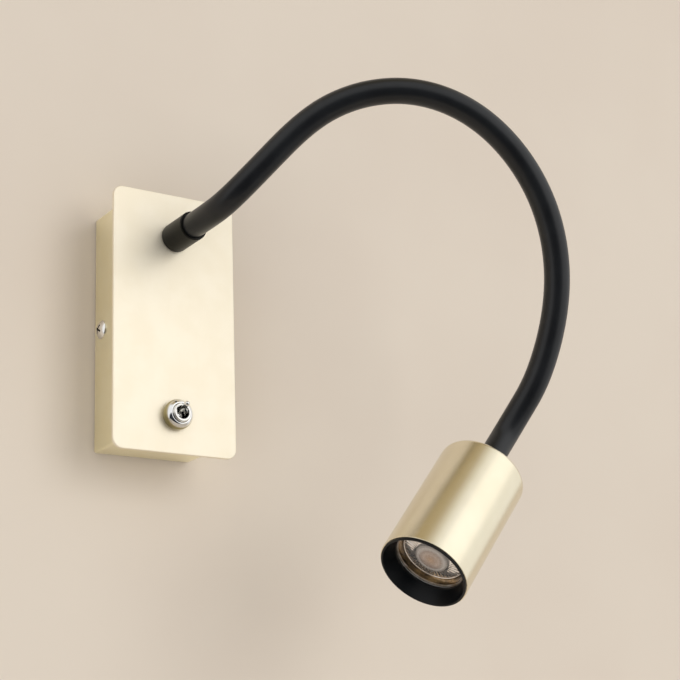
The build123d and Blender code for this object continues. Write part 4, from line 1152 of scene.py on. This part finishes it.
def lamp_body():
    """Twist-lock lamp with a finned waist and an open cup for the optic."""
    cup, cup_floor, front, back = 22.8, 61.2, 75.2, 28.7
    rim, waist, shoulder = 25.0, 12.0, 40.7
    fins_from, fins_to, fin_count = 43, 60, 20
    outline = [(cup, front), (cup, cup_floor), (0, cup_floor), (0, back)]
    outline += [(11.6, back), (waist, 29.1), (waist, shoulder), (13.5, shoulder)]
    outline += along_arc((13.5, shoulder), (20.3, 50.4), (rim, cup_floor), 20)
    outline += [(rim, front - 0.5)] + along_arc((rim, front - 0.5), (24.85, front - 0.15), (24.5, front), 4)

    def fins(radius, along, angle):
        if not fins_from < along < fins_to or radius < 13.5:
            return radius, along
        deep = min(1.0, (along - fins_from) / 3, (fins_to - along) / 3)
        return radius - 0.9 * deep * (0.5 - 0.5 * math.cos(fin_count * angle)), along

    lamp = turned("lamp_body_white", HEAD_TOP, HEAD_AXIS, outline, 240, fins)
    stand_for(lamp, "lamp_body", "bulb", LAMP_WHITE, 35)


OPTIC_EDGE = 22.7
OPTIC_BACK = 69.2
OPTIC_FRONT = 74.4
TROUGH_RIM = 21.0
TROUGH_FOOT = (19.3, 70.8)
DOME_BACK = 69.4
DOME_FOOT = (10.6, 72.9)
FLUTES = 44


def optic_piece(name, outline, material, steps=160, shape=None):
    """One turned piece of the optic, which turns with the lamp."""
    piece = turned(name, HEAD_TOP, HEAD_AXIS, outline, steps, shape)
    stand_for(piece, "lamp_lens", "bulb", material, 30)


def lamp_optic():
    """Moulded optic: flat rim, dark trough, fluted reflector, stepped dome and the cone behind them."""
    optic_piece("optic_flange", eased([
        (OPTIC_EDGE, OPTIC_BACK, 0), (OPTIC_EDGE, OPTIC_FRONT, 0.15), (TROUGH_RIM, OPTIC_FRONT, 0.2),
        (TROUGH_RIM + 0.2, OPTIC_BACK, 0),
    ]), OPTIC_FLANGE)
    foot_radius, foot = TROUGH_FOOT
    optic_piece("optic_trough_side", [
        (TROUGH_RIM + 0.1, OPTIC_FRONT - 0.3), (TROUGH_RIM - 0.12, OPTIC_FRONT - 0.3), (foot_radius, foot),
        (foot_radius, 69.3), (TROUGH_RIM + 0.1, 69.3),
    ], OPTIC_AMBER)
    dome_radius, dome_foot = DOME_FOOT
    mirror_edge = foot_radius - 0.05
    flutes_from, flutes_to = 11, foot_radius - 0.9
    bead = along_arc((flutes_to, foot + 0.45), (foot_radius - 0.45, foot + 0.62), (mirror_edge, foot + 0.2), 8)
    slope = [
        (dome_radius + (flutes_to - dome_radius) * k / 12, dome_foot + (foot + 0.45 - dome_foot) * k / 12)
        for k in range(13)
    ]

    def flutes(radius, along, angle):
        if along < foot or not flutes_from < radius < flutes_to:
            return radius, along
        deep = min(1.0, (radius - flutes_from) / 2.5, (flutes_to - radius) / 0.6)
        return radius, along + 0.45 * deep * (abs(math.cos(FLUTES / 2 * angle)) - 0.6)

    optic_piece("optic_reflector", [(dome_radius, DOME_BACK)] + slope + bead + [(mirror_edge, DOME_BACK)],
                OPTIC_MIRROR, 352, flutes)
    dome_side = dome_radius - 0.02
    face = [(dome_side, DOME_BACK), (dome_side, dome_foot), (10.3, 73.6), (10.0, 74.7), (9.75, 74.82)]
    face += along_arc((9.75, 74.82), (9.0, 75.06), (8.2, 75.16), 6)
    face += [(8.1, 75.06), (7.9, 75.08)] + along_arc((7.9, 75.08), (6.8, 75.36), (5.7, 75.5), 6)
    face += [(5.6, 75.42), (5.4, 75.43)] + along_arc((5.4, 75.43), (2.9, 75.72), (0, 75.8), 12)
    optic_piece("optic_dome", [(0, DOME_BACK)] + face, OPTIC_DOME)
    optic_piece("optic_cone", [
        (0, 64.0), (1.5, 63.95), (5.4, 64.0), (7.4, 65.6), (9.2, 67.2), (10.8, OPTIC_BACK),
        (OPTIC_EDGE, OPTIC_BACK), (OPTIC_EDGE, 69.25), (0, 69.35),
    ], OPTIC_CLEAR)


# ------------------------------------------------------------------ the rest of the nodes
# Each node that keeps its solid's shape, with its finish and how far its edges are softened
DRESSED = [
    ("wall_bracket", ZINC, 0.2), ("terminal_block", WHITE_NYLON, 0.2), ("earth_lug", TINNED, 0.1),
    ("neck_nut", NICKEL, 0.1), ("switch_back_nut", NICKEL, 0.1), ("switch_body", DARK_PHENOLIC, 0.15),
    ("holder_hanger", ZINC, 0.15), ("head_nut", NICKEL, 0.1), ("lamp_holder", STEATITE, 0.2),
    ("cable_grommet", RUBBER, 0.2), ("earth_screw", ZINC, 0.0), ("block_screw", ZINC, 0.0),
    ("base_fitting", NICKEL, 0.1), ("head_fitting", NICKEL, 0.1), ("lamp_pins", TINNED, 0.0),
    ("holder_screws", ZINC, 0.1), ("terminal_screws", ZINC, 0.0), ("neutral_lead", BLUE_PVC, 0.0),
    ("switched_lead", BROWN_PVC, 0.0), ("supply_lead", BROWN_PVC, 0.0), ("earth_lead", EARTH_PVC, 0.0),
    ("head_leads", BROWN_PVC, 0.0), ("lamp_board", BOARD_WHITE, 0.1), ("lamp_emitter", PHOSPHOR, 0.1),
    ("neck_washer", ZINC, 0.0), ("switch_washer", ZINC, 0.0), ("head_washer", ZINC, 0.0),
    ("switch_tags", TINNED, 0.0),
]


def remaining_nodes():
    """Gives each of the other nodes a copy with softened edges and its own finish."""
    for name, material, edge in DRESSED:
        give(dressed(name, edge), material)


photograph_camera()
studio()
front_plate()
cover_box()
side_screws()
neck_collar()
neck_pieces()
switch_bushing()
dress_nut()
toggle_lever()
head_shell()
baffle_ring()
lamp_body()
lamp_optic()
remaining_nodes()
